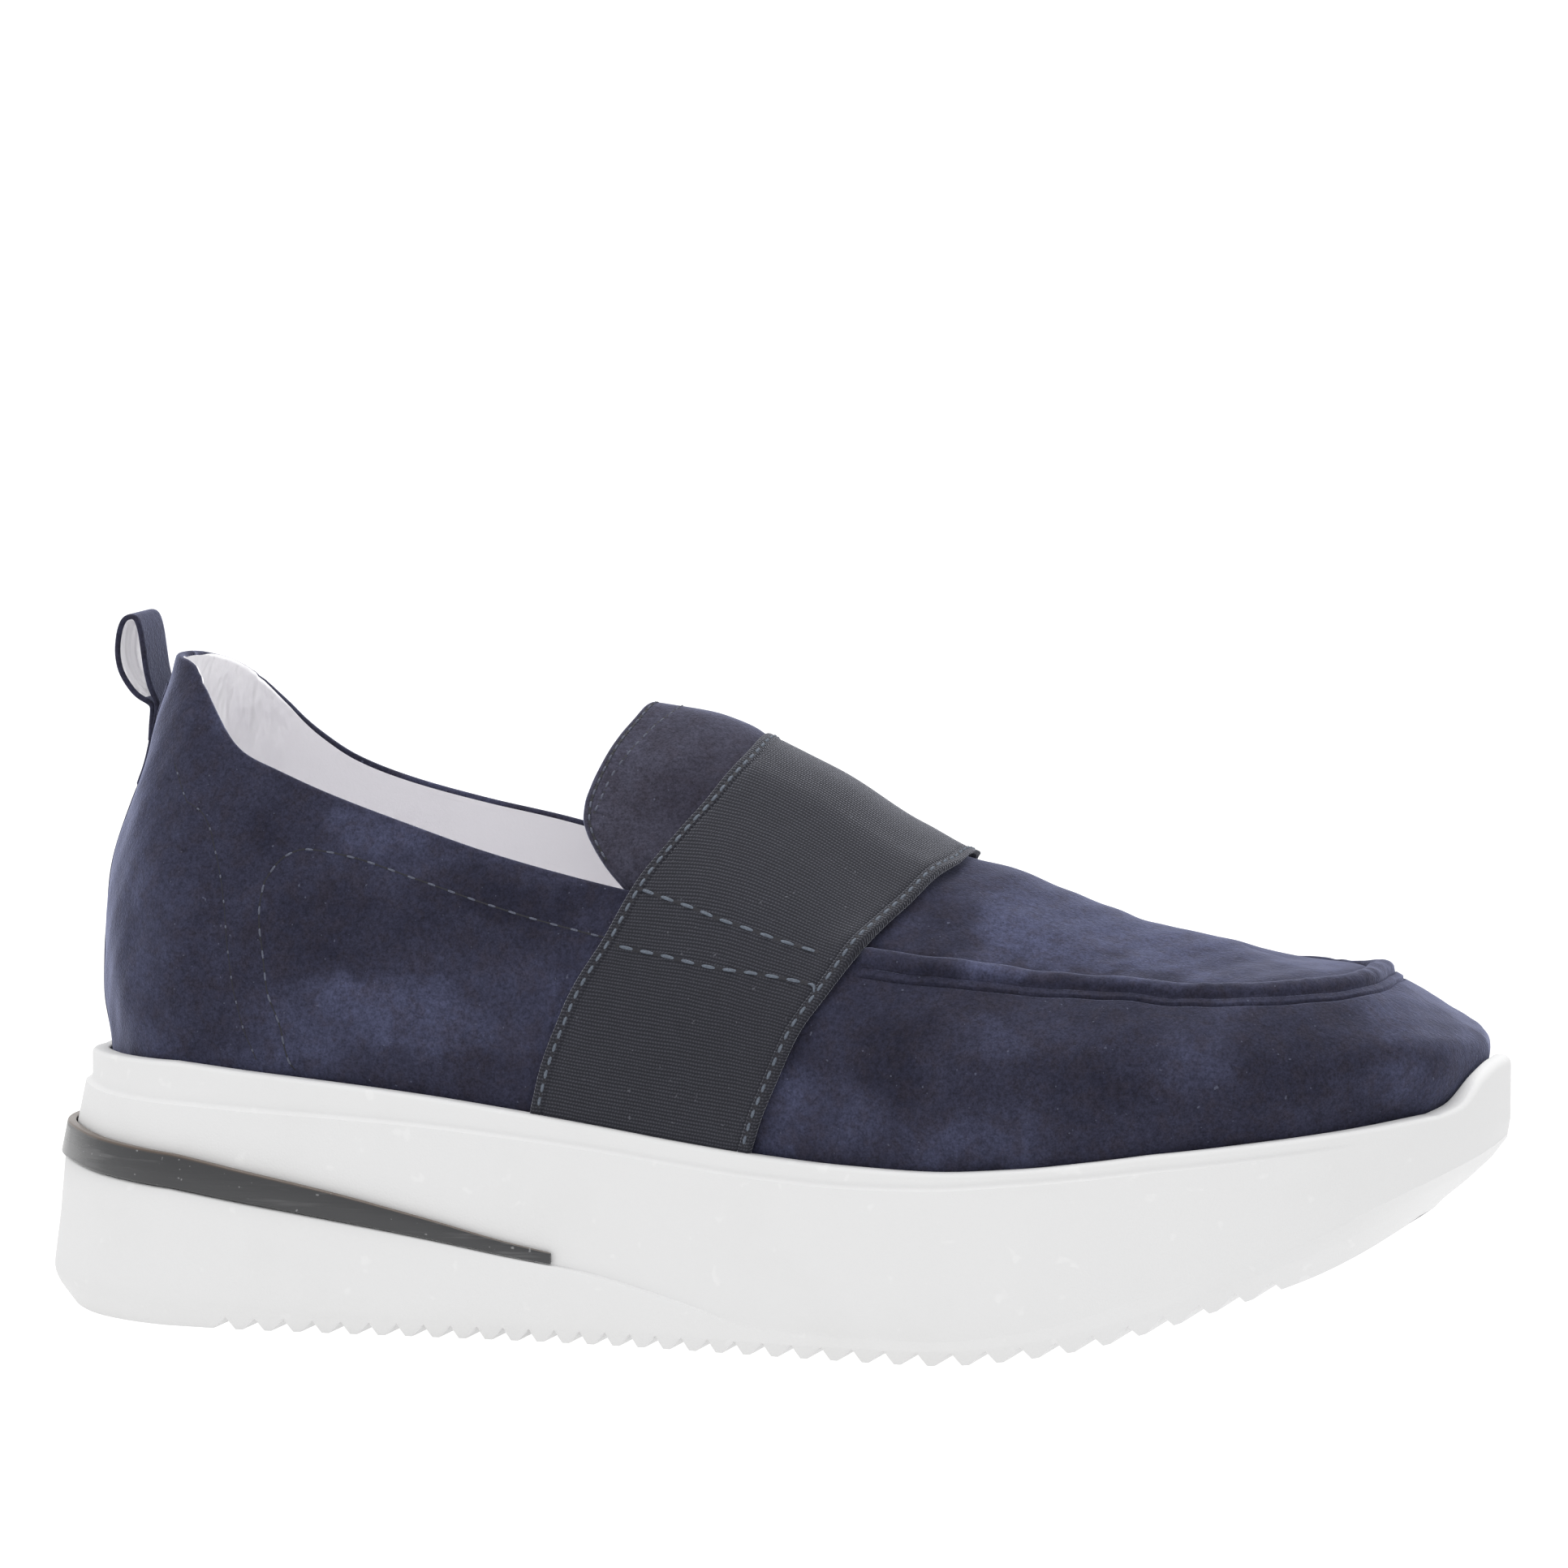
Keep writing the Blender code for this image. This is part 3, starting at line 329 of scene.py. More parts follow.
class Curve:
    """Monotone cubic through points, level past both ends, read at many places at once."""

    def __init__(self, xs: Sequence[float], ys: Any) -> None:
        """Works out the tangents once.

        Args:
            xs: Places of the points, rising.
            ys: Values there; a second dimension holds several curves.
        """
        self.xs = np.asarray(xs, float)
        self.ys = np.asarray(ys, float)
        self.tangents = tangents(self.xs, self.ys)

    def __call__(self, x: Any) -> Array:
        """Values at the places x."""
        x = np.clip(np.asarray(x, float), self.xs[0], self.xs[-1])
        k = np.clip(np.searchsorted(self.xs, x, side="right") - 1, 0, len(self.xs) - 2)
        step = self.xs[k + 1] - self.xs[k]
        u = (x - self.xs[k]) / step
        if self.ys.ndim > 1:
            u = u[..., None]
            step = step[..., None]
        return hermite(u, step, self.ys[k], self.ys[k + 1], self.tangents[k], self.tangents[k + 1])


def tangents(xs: Array, ys: Array) -> Array:
    """Slopes that keep a cubic through the points from overshooting.

    Args:
        xs: Places of the points.
        ys: Values there, points first.

    Returns:
        The slope at each point.
    """
    step = np.diff(xs).reshape((-1,) + (1,) * (ys.ndim - 1))
    slope = np.diff(ys, axis=0) / step
    out = np.zeros_like(ys)
    out[0] = slope[0]
    out[-1] = slope[-1]
    before = slope[:-1]
    after = slope[1:]
    w_1 = 2 * step[1:] + step[:-1]
    w_2 = step[1:] + 2 * step[:-1]
    same = before * after > 0
    safe_before = np.where(same, before, 1.0)
    safe_after = np.where(same, after, 1.0)
    out[1:-1] = np.where(same, (w_1 + w_2) / (w_1 / safe_before + w_2 / safe_after), 0.0)
    return out


def hermite(u: Array, step: Array, y_0: Array, y_1: Array, t_0: Array, t_1: Array) -> Array:
    """Cubic between two points with given slopes."""
    a = (1 + 2 * u) * (1 - u) ** 2
    b = u * (1 - u) ** 2
    c = u * u * (3 - 2 * u)
    d = u * u * (u - 1)
    return a * y_0 + b * step * t_0 + c * y_1 + d * step * t_1


def curve_of(points: Sequence[tuple[float, float]]) -> Curve:
    """Curve through pairs of place and value."""
    return Curve([p[0] for p in points], [p[1] for p in points])


def ring_of(side: Side, place: Any) -> Array:
    """Ring coordinate: 0 at the heel's back, 3 at the toe, 6 back at the heel."""
    place = np.asarray(place, float)
    return place + 1 if side is Side.LATERAL else 5 - place


def place_of(ring: Array) -> Array:
    """Place of a ring coordinate: -1 at the heel's back, 0 and 1 at the turns, 2 at the toe."""
    return np.where(ring < 3, ring - 1, 5 - ring)


def over_crown(v: Array, place: Array) -> Array:
    """Ring coordinate of a place: lateral where v is up to 1, medial above."""
    return np.where(v <= 1, place + 1, 5 - place)


def lengths_along(points: Array) -> Array:
    """Distance along a line at each of its points."""
    return np.concatenate([[0.0], np.cumsum(np.linalg.norm(np.diff(points, axis=0), axis=1))])


def unit(vectors: Array) -> Array:
    """Vectors brought to a length of 1."""
    return vectors / np.maximum(np.linalg.norm(vectors, axis=-1, keepdims=True), 1e-9)


@dataclass
class Cut:
    """Upright sections of the shoe at many ring coordinates at once, in millimetres."""

    ring: Array
    place: Array
    side: Array
    origin: Array
    facing: Array
    rim_reach: Array
    base_rim: Array
    rim: Array
    groove: Array
    ledge: Array
    crown: Array
    foot: Array
    foot_reach: Array
    reaches: Array
    heights: Array
    height_slopes: Array

    def spot(self, reach: Array, z: Array) -> Array:
        """Points of these sections' planes in the frame.

        Args:
            reach: Distances from the middle.
            z: Heights.

        Returns:
            Points, one a section.
        """
        x = self.origin[:, 0] + reach * self.facing[:, 0] + AHEAD
        y = self.origin[:, 1] + reach * self.facing[:, 1] + ASIDE
        return np.stack([x, y, np.broadcast_to(z, x.shape)], axis=-1)

    def reach_at(self, t: Array) -> Array:
        """Upper's distance from the middle at shares t of its height line."""
        last = self.reaches.shape[1] - 1
        u = np.clip(t, 0.0, 1.0) * last
        k = np.minimum(u.astype(int), last - 1)
        f = u - k
        rows = np.arange(len(k))
        p_1 = self.reaches[rows, k]
        p_2 = self.reaches[rows, k + 1]
        p_0 = np.where(k > 0, self.reaches[rows, np.maximum(k - 1, 0)], 2 * p_1 - p_2)
        p_3 = np.where(k + 2 <= last, self.reaches[rows, np.minimum(k + 2, last)], 2 * p_2 - p_1)
        share = 0.5 * (2 * p_1 + (p_2 - p_0) * f + (2 * p_0 - 5 * p_1 + 4 * p_2 - p_3) * f * f
                       + (3 * p_1 - p_0 - 3 * p_2 + p_3) * f ** 3)
        return share * self.foot_reach

    def height_at(self, t: Array) -> Array:
        """Upper's heights at shares t of its height line."""
        last = self.heights.shape[1] - 1
        u = np.clip(t, 0.0, 1.0) * last
        k = np.minimum(u.astype(int), last - 1)
        rows = np.arange(len(k))
        share = hermite(u - k, 1.0 / last, self.heights[rows, k], self.heights[rows, k + 1],
                        self.height_slopes[rows, k], self.height_slopes[rows, k + 1])
        return self.foot + share * (self.crown - self.foot)

    def share_at(self, z: Array) -> Array:
        """Shares of the height line at which the upper reaches heights z."""
        low = np.zeros_like(self.ring)
        high = np.ones_like(self.ring)
        for _ in range(26):
            middle = 0.5 * (low + high)
            below = self.height_at(middle) < z
            low = np.where(below, middle, low)
            high = np.where(below, high, middle)
        return 0.5 * (low + high)


class Last:
    """The shoe's shape, read at any ring coordinate and share of the height."""

    NAMES = ("rim", "groove", "ledge", "crown")

    def __init__(self) -> None:
        """Turns the tables into curves."""
        self.flat = self._columns(SECTIONS, "along", self.NAMES + ("lateral", "medial", "spine"))
        self.heel = self._columns(HEEL_FAN, "turn", self.NAMES + ("lateral", "medial"))
        self.toe = self._columns(TOE_FAN, "turn", self.NAMES + ("lateral", "medial"))
        flare_names = [name for name in Flare._fields if name != "place"]
        self.flares = self._columns(FLARES, "place", flare_names)
        places = [p.place for p in PROFILES]
        self.reaches = Curve(places, [p.reach for p in PROFILES])
        self.heights = Curve(places, [p.height for p in PROFILES])
        self.collar = self._columns(COLLAR, "place", ("lateral", "medial"))
        self.ground = curve_of(GROUND)
        self.throat = curve_of(THROAT)
        self.seam = curve_of(SEAM)
        self.bumper = curve_of(BUMPER)
        self.groove_fade = curve_of(GROOVE_FADE)

    @staticmethod
    def _columns(rows: Sequence[Any], key: str, names: Sequence[str]) -> dict[str, Curve]:
        """Curves of the named columns of a table."""
        xs = [getattr(row, key) for row in rows]
        return {name: Curve(xs, [getattr(row, name) for row in rows]) for name in names}

    def cut(self, ring: Any) -> Cut:
        """Sections at ring coordinates.

        Args:
            ring: Coordinates, taken round the ring of 6.

        Returns:
            The sections, one for each coordinate.
        """
        ring = np.mod(np.asarray(ring, float).ravel(), 6.0)
        lateral = ring < 3
        side = np.where(lateral, -1.0, 1.0)
        place = place_of(ring)
        heel_turn = 90 * (1 + np.clip(place, -1, 0))
        toe_turn = 90 * (np.clip(place, 1, 2) - 1)
        along = HEEL_TURN + np.clip(place, 0, 1) * (TOE_TURN - HEEL_TURN)

        def pick(name: str) -> Array:
            """Value of one column in whichever table holds each section."""
            flat = self.flat[name](along)
            return np.where(place < 0, self.heel[name](heel_turn),
                            np.where(place > 1, self.toe[name](toe_turn), flat))

        spine = self.flat["spine"](along) * BALL_WIDTH
        width = np.where(lateral, pick("lateral"), pick("medial")) * BALL_WIDTH
        middle = (place >= 0) & (place <= 1)
        rim_reach = np.where(middle, width - side * spine, width)
        heel_angle = np.radians(heel_turn)
        toe_angle = np.radians(toe_turn)
        face_x = np.where(place < 0, -np.cos(heel_angle), np.where(place > 1, np.sin(toe_angle), 0.0))
        face_y = np.where(place < 0, np.sin(heel_angle), np.where(place > 1, np.cos(toe_angle), 1.0))
        origin = np.stack([along * LENGTH, np.where(place < 0, 0.0, spine)], axis=-1)
        base_rim = pick("rim") * PLATFORM
        crown = pick("crown") * TOP_LINE
        foot = base_rim - RIM_DEPTH + SEAT_GAP
        foot_reach = rim_reach - self.flares["stand"](place)
        reaches = self.reaches(place)
        heights = self.heights(place)
        slopes = tangents(np.linspace(0, 1, heights.shape[1]), heights.T).T
        slopes[:, -1] = self._crown_slope(place, face_x, reaches, foot_reach, crown - foot, slopes[:, -1])
        return Cut(
            ring=ring, place=place, side=side, origin=origin,
            facing=np.stack([face_x, side * face_y], axis=-1), rim_reach=rim_reach, base_rim=base_rim,
            rim=base_rim + self.bumper(place) * BUMPER_RISE, groove=pick("groove") * PLATFORM,
            ledge=pick("ledge") * PLATFORM, crown=crown, foot=foot,
            foot_reach=foot_reach, reaches=reaches, heights=heights, height_slopes=slopes,
        )

    @staticmethod
    def _crown_slope(place: Array, face_x: Array, reaches: Array, foot_reach: Array, rise: Array,
                     natural: Array) -> Array:
        """Slope of the height line at the crown that makes both sides meet smoothly.

        Args:
            place: Places of the sections.
            face_x: How far each section faces ahead.
            reaches: Shares of the foot's reach at the knots.
            foot_reach: Reach of the foot.
            rise: Height of the crown over the foot.
            natural: Slope that the table gives.

        Returns:
            The slope to use.
        """
        crown_fall = -0.16
        reach_slope = (reaches[:, -1] - reaches[:, -2]) * (reaches.shape[1] - 1) * foot_reach
        level = crown_fall * face_x * reach_slope / rise
        weight = ease(0.26, 0.42, place)
        return natural * (1 - weight) + level * weight

    @staticmethod
    def heel_tuck(place: Array) -> Array:
        """Millimetres by which the heel's foot tucks in behind the rim."""
        return 0.9 * (1 - ease(-0.55, -0.10, place))

    def point(self, ring: Array, t: Array) -> Array:
        """Points of the upper's outer face, before any relief."""
        cut = self.cut(ring)
        return cut.spot(cut.reach_at(t), cut.height_at(t))

    def outward(self, ring: Array, t: Array) -> Array:
        """Unit normals of the upper's outer face, pointing out of the shoe."""
        step = 0.012
        up = self.point(ring, np.minimum(t + step, 1.0)) - self.point(ring, np.maximum(t - step, 0.0))
        level = np.clip(t, 0.0, 0.985)
        ahead = self.point(ring + step, level) - self.point(ring - step, level)
        return unit(np.cross(ahead, up))

    def skin(self, ring: Any, t: Any, rise: Any = 0.0) -> Array:
        """Points at a distance out of the upper's outer face.

        Args:
            ring: Ring coordinates.
            t: Shares of the height line.
            rise: Distances outward; all three broadcast together.

        Returns:
            Points, with the inputs' shape and a last dimension of 3.
        """
        ring, t, rise = np.broadcast_arrays(*(np.asarray(a, float) for a in (ring, t, rise)))
        flat_ring = ring.ravel()
        flat_t = t.ravel()
        points = self.point(flat_ring, flat_t) + rise.ravel()[:, None] * self.outward(flat_ring, flat_t)
        return points.reshape(ring.shape + (3,))

    def normals(self, ring: Any, t: Any) -> Array:
        """Outward normals in the inputs' shape."""
        ring, t = np.broadcast_arrays(np.asarray(ring, float), np.asarray(t, float))
        return self.outward(ring.ravel(), t.ravel()).reshape(ring.shape + (3,))

    def opening(self, cut: Cut, drop: float = 0.0) -> Array:
        """Shares of the height line where the upper ends.

        Args:
            cut: The sections.
            drop: Millimetres to stop short below the collar's edge.

        Returns:
            One share a section: its collar, its throat or the crown.
        """
        height = np.where(cut.side < 0, self.collar["lateral"](cut.place), self.collar["medial"](cut.place))
        share = cut.share_at(height * TOP_LINE - drop)
        return np.where(cut.place < THROAT[0][0], share, self.throat(cut.place))


def along_to_place(along: Any) -> Array:
    """Place of a share of the length between the two turning points."""
    return (np.asarray(along, float) - HEEL_TURN) / (TOE_TURN - HEEL_TURN)


class Patches:
    """Grids of points that become one welded mesh."""

    def __init__(self) -> None:
        """Starts empty."""
        self.points: list[Array] = []
        self.faces: list[Array] = []
        self.finishes: list[Array] = []
        self.weave: list[Array] = []
        self.count = 0

    def grid(self, points: Array, closed: bool = False, finish: Union[int, Array] = 0,
             flip: bool = False, weave: Union[Array, None] = None) -> None:
        """Adds a grid of lines and rows.

        Args:
            points: Lines by rows by 3, in millimetres.
            closed: Whether the last line joins the first.
            finish: Index of the material, or one index a face.
            flip: Whether the faces turn the other way.
            weave: Lines by rows by 2, lengths along the cloth in metres.
        """
        lines, rows = points.shape[:2]
        i = np.arange(lines if closed else lines - 1)
        j = (i + 1) % lines
        r = np.arange(rows - 1)
        a = (i[:, None] * rows + r).ravel()
        b = (j[:, None] * rows + r).ravel()
        quads = np.stack([a, b, b + 1, a + 1], axis=-1) + self.count
        self.add(points.reshape(-1, 3), quads[:, ::-1] if flip else quads, finish,
                 None if weave is None else weave.reshape(-1, 2))

    def add(self, points: Array, faces: Array, finish: Union[int, Array] = 0,
            weave: Union[Array, None] = None) -> None:
        """Adds points and the faces on them, whose numbers already count from the start."""
        self.points.append(points)
        self.faces.append(faces)
        self.finishes.append(np.broadcast_to(np.ravel(finish), (len(faces),)))
        self.weave.append(np.zeros((len(points), 2)) if weave is None else weave)
        self.count += len(points)

    def fan(self, edge: Array, middle: Array, turn: int = 1, finish: int = 0) -> None:
        """Adds triangles between a closed edge and a point in its middle.

        Args:
            edge: Points of the edge, in order.
            middle: The point.
            turn: 1, or -1 for faces that turn the other way.
            finish: Index of the material.
        """
        size = len(edge)
        k = np.arange(size)
        faces = np.stack([k, (k + 1) % size, np.full(size, size)], axis=-1)[:, ::turn] + self.count
        self.add(np.concatenate([edge, middle[None]]), faces, finish)

    def tube(self, loops: Array, weave: Union[Array, None] = None) -> None:
        """Adds a solid whose sections are closed loops, with a fan over each end.

        Args:
            loops: Loops by points by 3, in millimetres.
            weave: Loops by points and the first again by 2, as in a grid.
        """
        self.grid(np.concatenate([loops, loops[:, :1]], axis=1), weave=weave)
        for end, turn in ((0, 1), (-1, -1)):
            self.fan(loops[end], loops[end].mean(axis=0), turn)

    def make(self, name: str, materials: Sequence[bpy.types.Material], sharp: float = 50.0,
             weld: float = 2e-6) -> bpy.types.Object:
        """Welds the grids into one shaded object.

        Args:
            name: Name of the object.
            materials: Its materials, by index.
            sharp: Angle in degrees above which an edge stays sharp.
            weld: Distance within which points join, in metres.

        Returns:
            The object, linked to the scene.
        """
        points = np.concatenate(self.points) * MM
        faces = [face for block in self.faces for face in block.tolist()]
        weave = np.concatenate(self.weave)
        mesh = bpy.data.meshes.new(name)
        mesh.from_pydata(points.tolist(), [], faces)
        for material in materials:
            mesh.materials.append(material)
        mesh.polygons.foreach_set("material_index", np.concatenate(self.finishes).astype(np.int32))
        layer = mesh.uv_layers.new(name="weave")
        corners = np.zeros(len(mesh.loops), np.int32)
        mesh.loops.foreach_get("vertex_index", corners)
        layer.data.foreach_set("uv", weave[corners].astype(np.float32).ravel())
        work = bmesh.new()
        work.from_mesh(mesh)
        bmesh.ops.remove_doubles(work, verts=work.verts, dist=weld)
        bmesh.ops.dissolve_degenerate(work, edges=work.edges, dist=1e-7)
        limit = math.radians(sharp)
        for edge in work.edges:
            edge.smooth = len(edge.link_faces) != 2 or edge.calc_face_angle() < limit
        for face in work.faces:
            face.smooth = True
        work.to_mesh(mesh)
        work.free()
        piece = bpy.data.objects.new(name, mesh)
        bpy.context.scene.collection.objects.link(piece)
        LOG.info("%s: %d faces", name, len(mesh.polygons))
        return piece


def set_on(piece: bpy.types.Object, slot: str, *nodes: str) -> bpy.types.Object:
    """Ties a piece to the frame.

    Args:
        piece: The piece.
        slot: The record's slot; not used.
        nodes: CAD nodes that it stands for.

    Returns:
        The piece.
    """
    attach(piece, "root")
    if nodes:
        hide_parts(*nodes)
    return piece


class Shade:
    """A socket of a material that takes part in arithmetic."""

    def __init__(self, bench: "Bench", socket: bpy.types.NodeSocket) -> None:
        """Wraps the socket of a node on the bench."""
        self.bench = bench
        self.socket = socket

    def _math(self, operation: str, first: Any, second: Any) -> "Shade":
        """Adds one Math node and returns its result."""
        node = self.bench.node("ShaderNodeMath", {"operation": operation}, {0: first, 1: second})
        return Shade(self.bench, node.outputs[0])

    def __add__(self, other: Any) -> "Shade":
        """Sum."""
        return self._math("ADD", self, other)

    def __radd__(self, other: Any) -> "Shade":
        """Sum with a number first."""
        return self._math("ADD", other, self)

    def __sub__(self, other: Any) -> "Shade":
        """Difference."""
        return self._math("SUBTRACT", self, other)

    def __rsub__(self, other: Any) -> "Shade":
        """Difference with a number first."""
        return self._math("SUBTRACT", other, self)

    def __mul__(self, other: Any) -> "Shade":
        """Product."""
        return self._math("MULTIPLY", self, other)

    def __rmul__(self, other: Any) -> "Shade":
        """Product with a number first."""
        return self._math("MULTIPLY", other, self)

    def sine(self) -> "Shade":
        """Sine of the value."""
        return self._math("SINE", self, 0.0)

    def step(self, low: float, high: float, start: float = 0.0, end: float = 1.0) -> "Shade":
        """Smooth step between two values.

        Args:
            low: Value where the step starts.
            high: Value where it ends.
            start: Result at low.
            end: Result at high.

        Returns:
            The stepped value.
        """
        node = self.bench.node(
            "ShaderNodeMapRange", {"interpolation_type": "SMOOTHSTEP"},
            {"Value": self, "From Min": low, "From Max": high, "To Min": start, "To Max": end},
        )
        return Shade(self.bench, node.outputs["Result"])


class Bench:
    """A material in the making: its tree, its shader and the nodes added to it."""

    def __init__(self, name: str) -> None:
        """Starts a material with one Principled shader."""
        self.material = bpy.data.materials.new(name)
        self.material.use_nodes = True
        self.tree = self.material.node_tree
        self.shader = self.tree.nodes["Principled BSDF"]

    def node(self, kind: str, settings: dict[str, Any], inputs: dict[Any, Any]) -> bpy.types.Node:
        """Adds one node.

        Args:
            kind: Blender's name of its type.
            settings: Its own settings, set before its sockets.
            inputs: Values or links of its sockets, by name or number.

        Returns:
            The node.
        """
        made = self.tree.nodes.new(kind)
        for name, value in settings.items():
            setattr(made, name, value)
        for key, value in inputs.items():
            self.feed(made.inputs[key], value)
        return made

    def feed(self, socket: bpy.types.NodeSocket, value: Any) -> None:
        """Links a shade to a socket or sets its value."""
        if isinstance(value, Shade):
            self.tree.links.new(value.socket, socket)
        elif isinstance(value, tuple) and len(value) == 3 and socket.type == "RGBA":
            socket.default_value = (*value, 1.0)
        else:
            socket.default_value = value

    def place(self, scale: Union[Colour, None] = None, turn: Union[Colour, None] = None) -> Shade:
        """Coordinates of the piece in metres, stretched and turned if asked.

        Args:
            scale: Stretch along each axis.
            turn: Turn about each axis, in degrees.

        Returns:
            The coordinates.
        """
        found = Shade(self, self.node("ShaderNodeTexCoord", {}, {}).outputs["Object"])
        if scale is None and turn is None:
            return found
        angles = tuple(math.radians(a) for a in (turn or (0.0, 0.0, 0.0)))
        mapped = self.node("ShaderNodeMapping", {}, {"Vector": found, "Rotation": angles,
                                                     "Scale": scale or (1.0, 1.0, 1.0)})
        return Shade(self, mapped.outputs["Vector"])

    def axis(self, which: str, of: Union[Shade, None] = None) -> Shade:
        """One coordinate of the piece, or of a vector."""
        split = self.node("ShaderNodeSeparateXYZ", {}, {0: of or self.place()})
        return Shade(self, split.outputs[which])

    def weave(self, which: str) -> Shade:
        """Length along the cloth, X across and Y along it."""
        found = self.node("ShaderNodeUVMap", {"uv_map": "weave"}, {})
        return self.axis(which, Shade(self, found.outputs[0]))

    def noise(self, scale: float, detail: float = 2.0, rough: float = 0.5, twist: float = 0.0,
              vector: Union[Shade, None] = None) -> Shade:
        """Noise between 0 and 1.

        Args:
            scale: Waves a metre.
            detail: Octaves.
            rough: Strength of the finer octaves.
            twist: Distortion.
            vector: Coordinates, or the piece's own.

        Returns:
            The noise.
        """
        made = self.node(
            "ShaderNodeTexNoise", {"noise_dimensions": "3D"},
            {"Vector": vector or self.place(), "Scale": scale, "Detail": detail, "Roughness": rough,
             "Distortion": twist},
        )
        return Shade(self, made.outputs["Fac"])

    def scaled(self, colour: Any, by: Shade) -> Shade:
        """A colour made lighter or darker by a factor."""
        made = self.node("ShaderNodeMix", {"data_type": "RGBA", "blend_type": "MULTIPLY"}, {0: 1.0})
        self.feed(made.inputs[6], colour)
        self.feed(made.inputs[7], by)
        return Shade(self, made.outputs[2])

    def mix(self, share: Any, first: Any, second: Any) -> Shade:
        """Mixes two colours.

        Args:
            share: Share of the second.
            first: One colour.
            second: The other.

        Returns:
            The mixed colour.
        """
        made = self.node("ShaderNodeMix", {"data_type": "RGBA"}, {})
        for socket, value in ((made.inputs[0], share), (made.inputs[6], first), (made.inputs[7], second)):
            self.feed(socket, value)
        return Shade(self, made.outputs[2])

    def bump(self, height: Shade, distance: float, strength: float = 1.0,
             under: Union[Shade, None] = None) -> Shade:
        """Bends the surface's normal by a height.

        Args:
            height: The height, 0 to 1.
            distance: Metres that 1 stands for.
            strength: Share of the effect.
            under: A normal that is already bent.

        Returns:
            The normal.
        """
        inputs: dict[Any, Any] = {"Height": height, "Distance": distance, "Strength": strength}
        if under is not None:
            inputs["Normal"] = under
        return Shade(self, self.node("ShaderNodeBump", {}, inputs).outputs["Normal"])

    def dress(self, **sockets: Any) -> bpy.types.Material:
        """Sets the shader's sockets, named with underscores, and returns the material."""
        for name, value in sockets.items():
            self.feed(self.shader.inputs[name.replace("_", " ")], value)
        return self.material


class TonePatch(NamedTuple):
    """Patch of paler or darker suede, in millimetres of the frame: mostly where the nap lies another way; a
    few are painted sheen and one is a painted shadow.
    """

    x: float
    z: float
    wide: float
    tall: float
    light: float


# Patches seen on the near side: above zero pale, below zero dark. Most are brushed nap; two are painted
# sheen, down the heel's back and on top of the vamp, and one is a painted shadow beside the strap's front
# edge
NAP_AND_PAINTED_LIGHT = (
    # The first patch on this line is painted sheen down the heel's back
    TonePatch(-109.0, 76.0, 7.0, 28.0, 0.55), TonePatch(-97.5, 113.0, 4.5, 7.0, 0.50),
    TonePatch(-65.5, 91.7, 10.0, 4.0, 0.50), TonePatch(-64.8, 55.6, 23.0, 6.0, 0.95),
    TonePatch(-90.6, 48.4, 18.0, 4.0, 0.60), TonePatch(-32.8, 60.0, 12.0, 10.0, 0.35),
    TonePatch(19.0, 43.7, 11.0, 7.0, 0.45), TonePatch(47.9, 38.5, 11.0, 4.5, 0.45),
    TonePatch(54.0, 58.5, 5.5, 4.5, 0.30), TonePatch(91.3, 55.8, 6.5, 5.5, 0.40),
    TonePatch(128.0, 48.5, 9.0, 6.0, 0.55), TonePatch(122.0, 60.0, 10.0, 4.0, 0.45),
    TonePatch(47.2, 73.0, 8.0, 4.5, 0.50), TonePatch(-83.8, 92.7, 7.0, 11.0, -0.45),
    TonePatch(-72.4, 70.9, 19.0, 9.0, -0.45), TonePatch(-38.9, 79.8, 22.0, 5.0, -0.75),
    TonePatch(-45.0, 71.6, 17.0, 6.0, -0.40), TonePatch(35.7, 54.4, 11.0, 6.5, -0.65),
    TonePatch(67.7, 50.8, 14.0, 6.5, -0.55), TonePatch(107.6, 53.9, 11.0, 5.5, -0.50),
    # The second patch on this line is a painted shadow beside the strap's front edge
    TonePatch(57.0, 64.5, 32.0, 3.5, -0.35), TonePatch(36.2, 73.6, 7.0, 6.0, -0.55),
    # The first patch on this line is painted sheen on top of the vamp
    TonePatch(62.0, 76.0, 26.0, 6.5, 0.95), TonePatch(92.0, 70.5, 24.0, 3.5, 0.65),
)


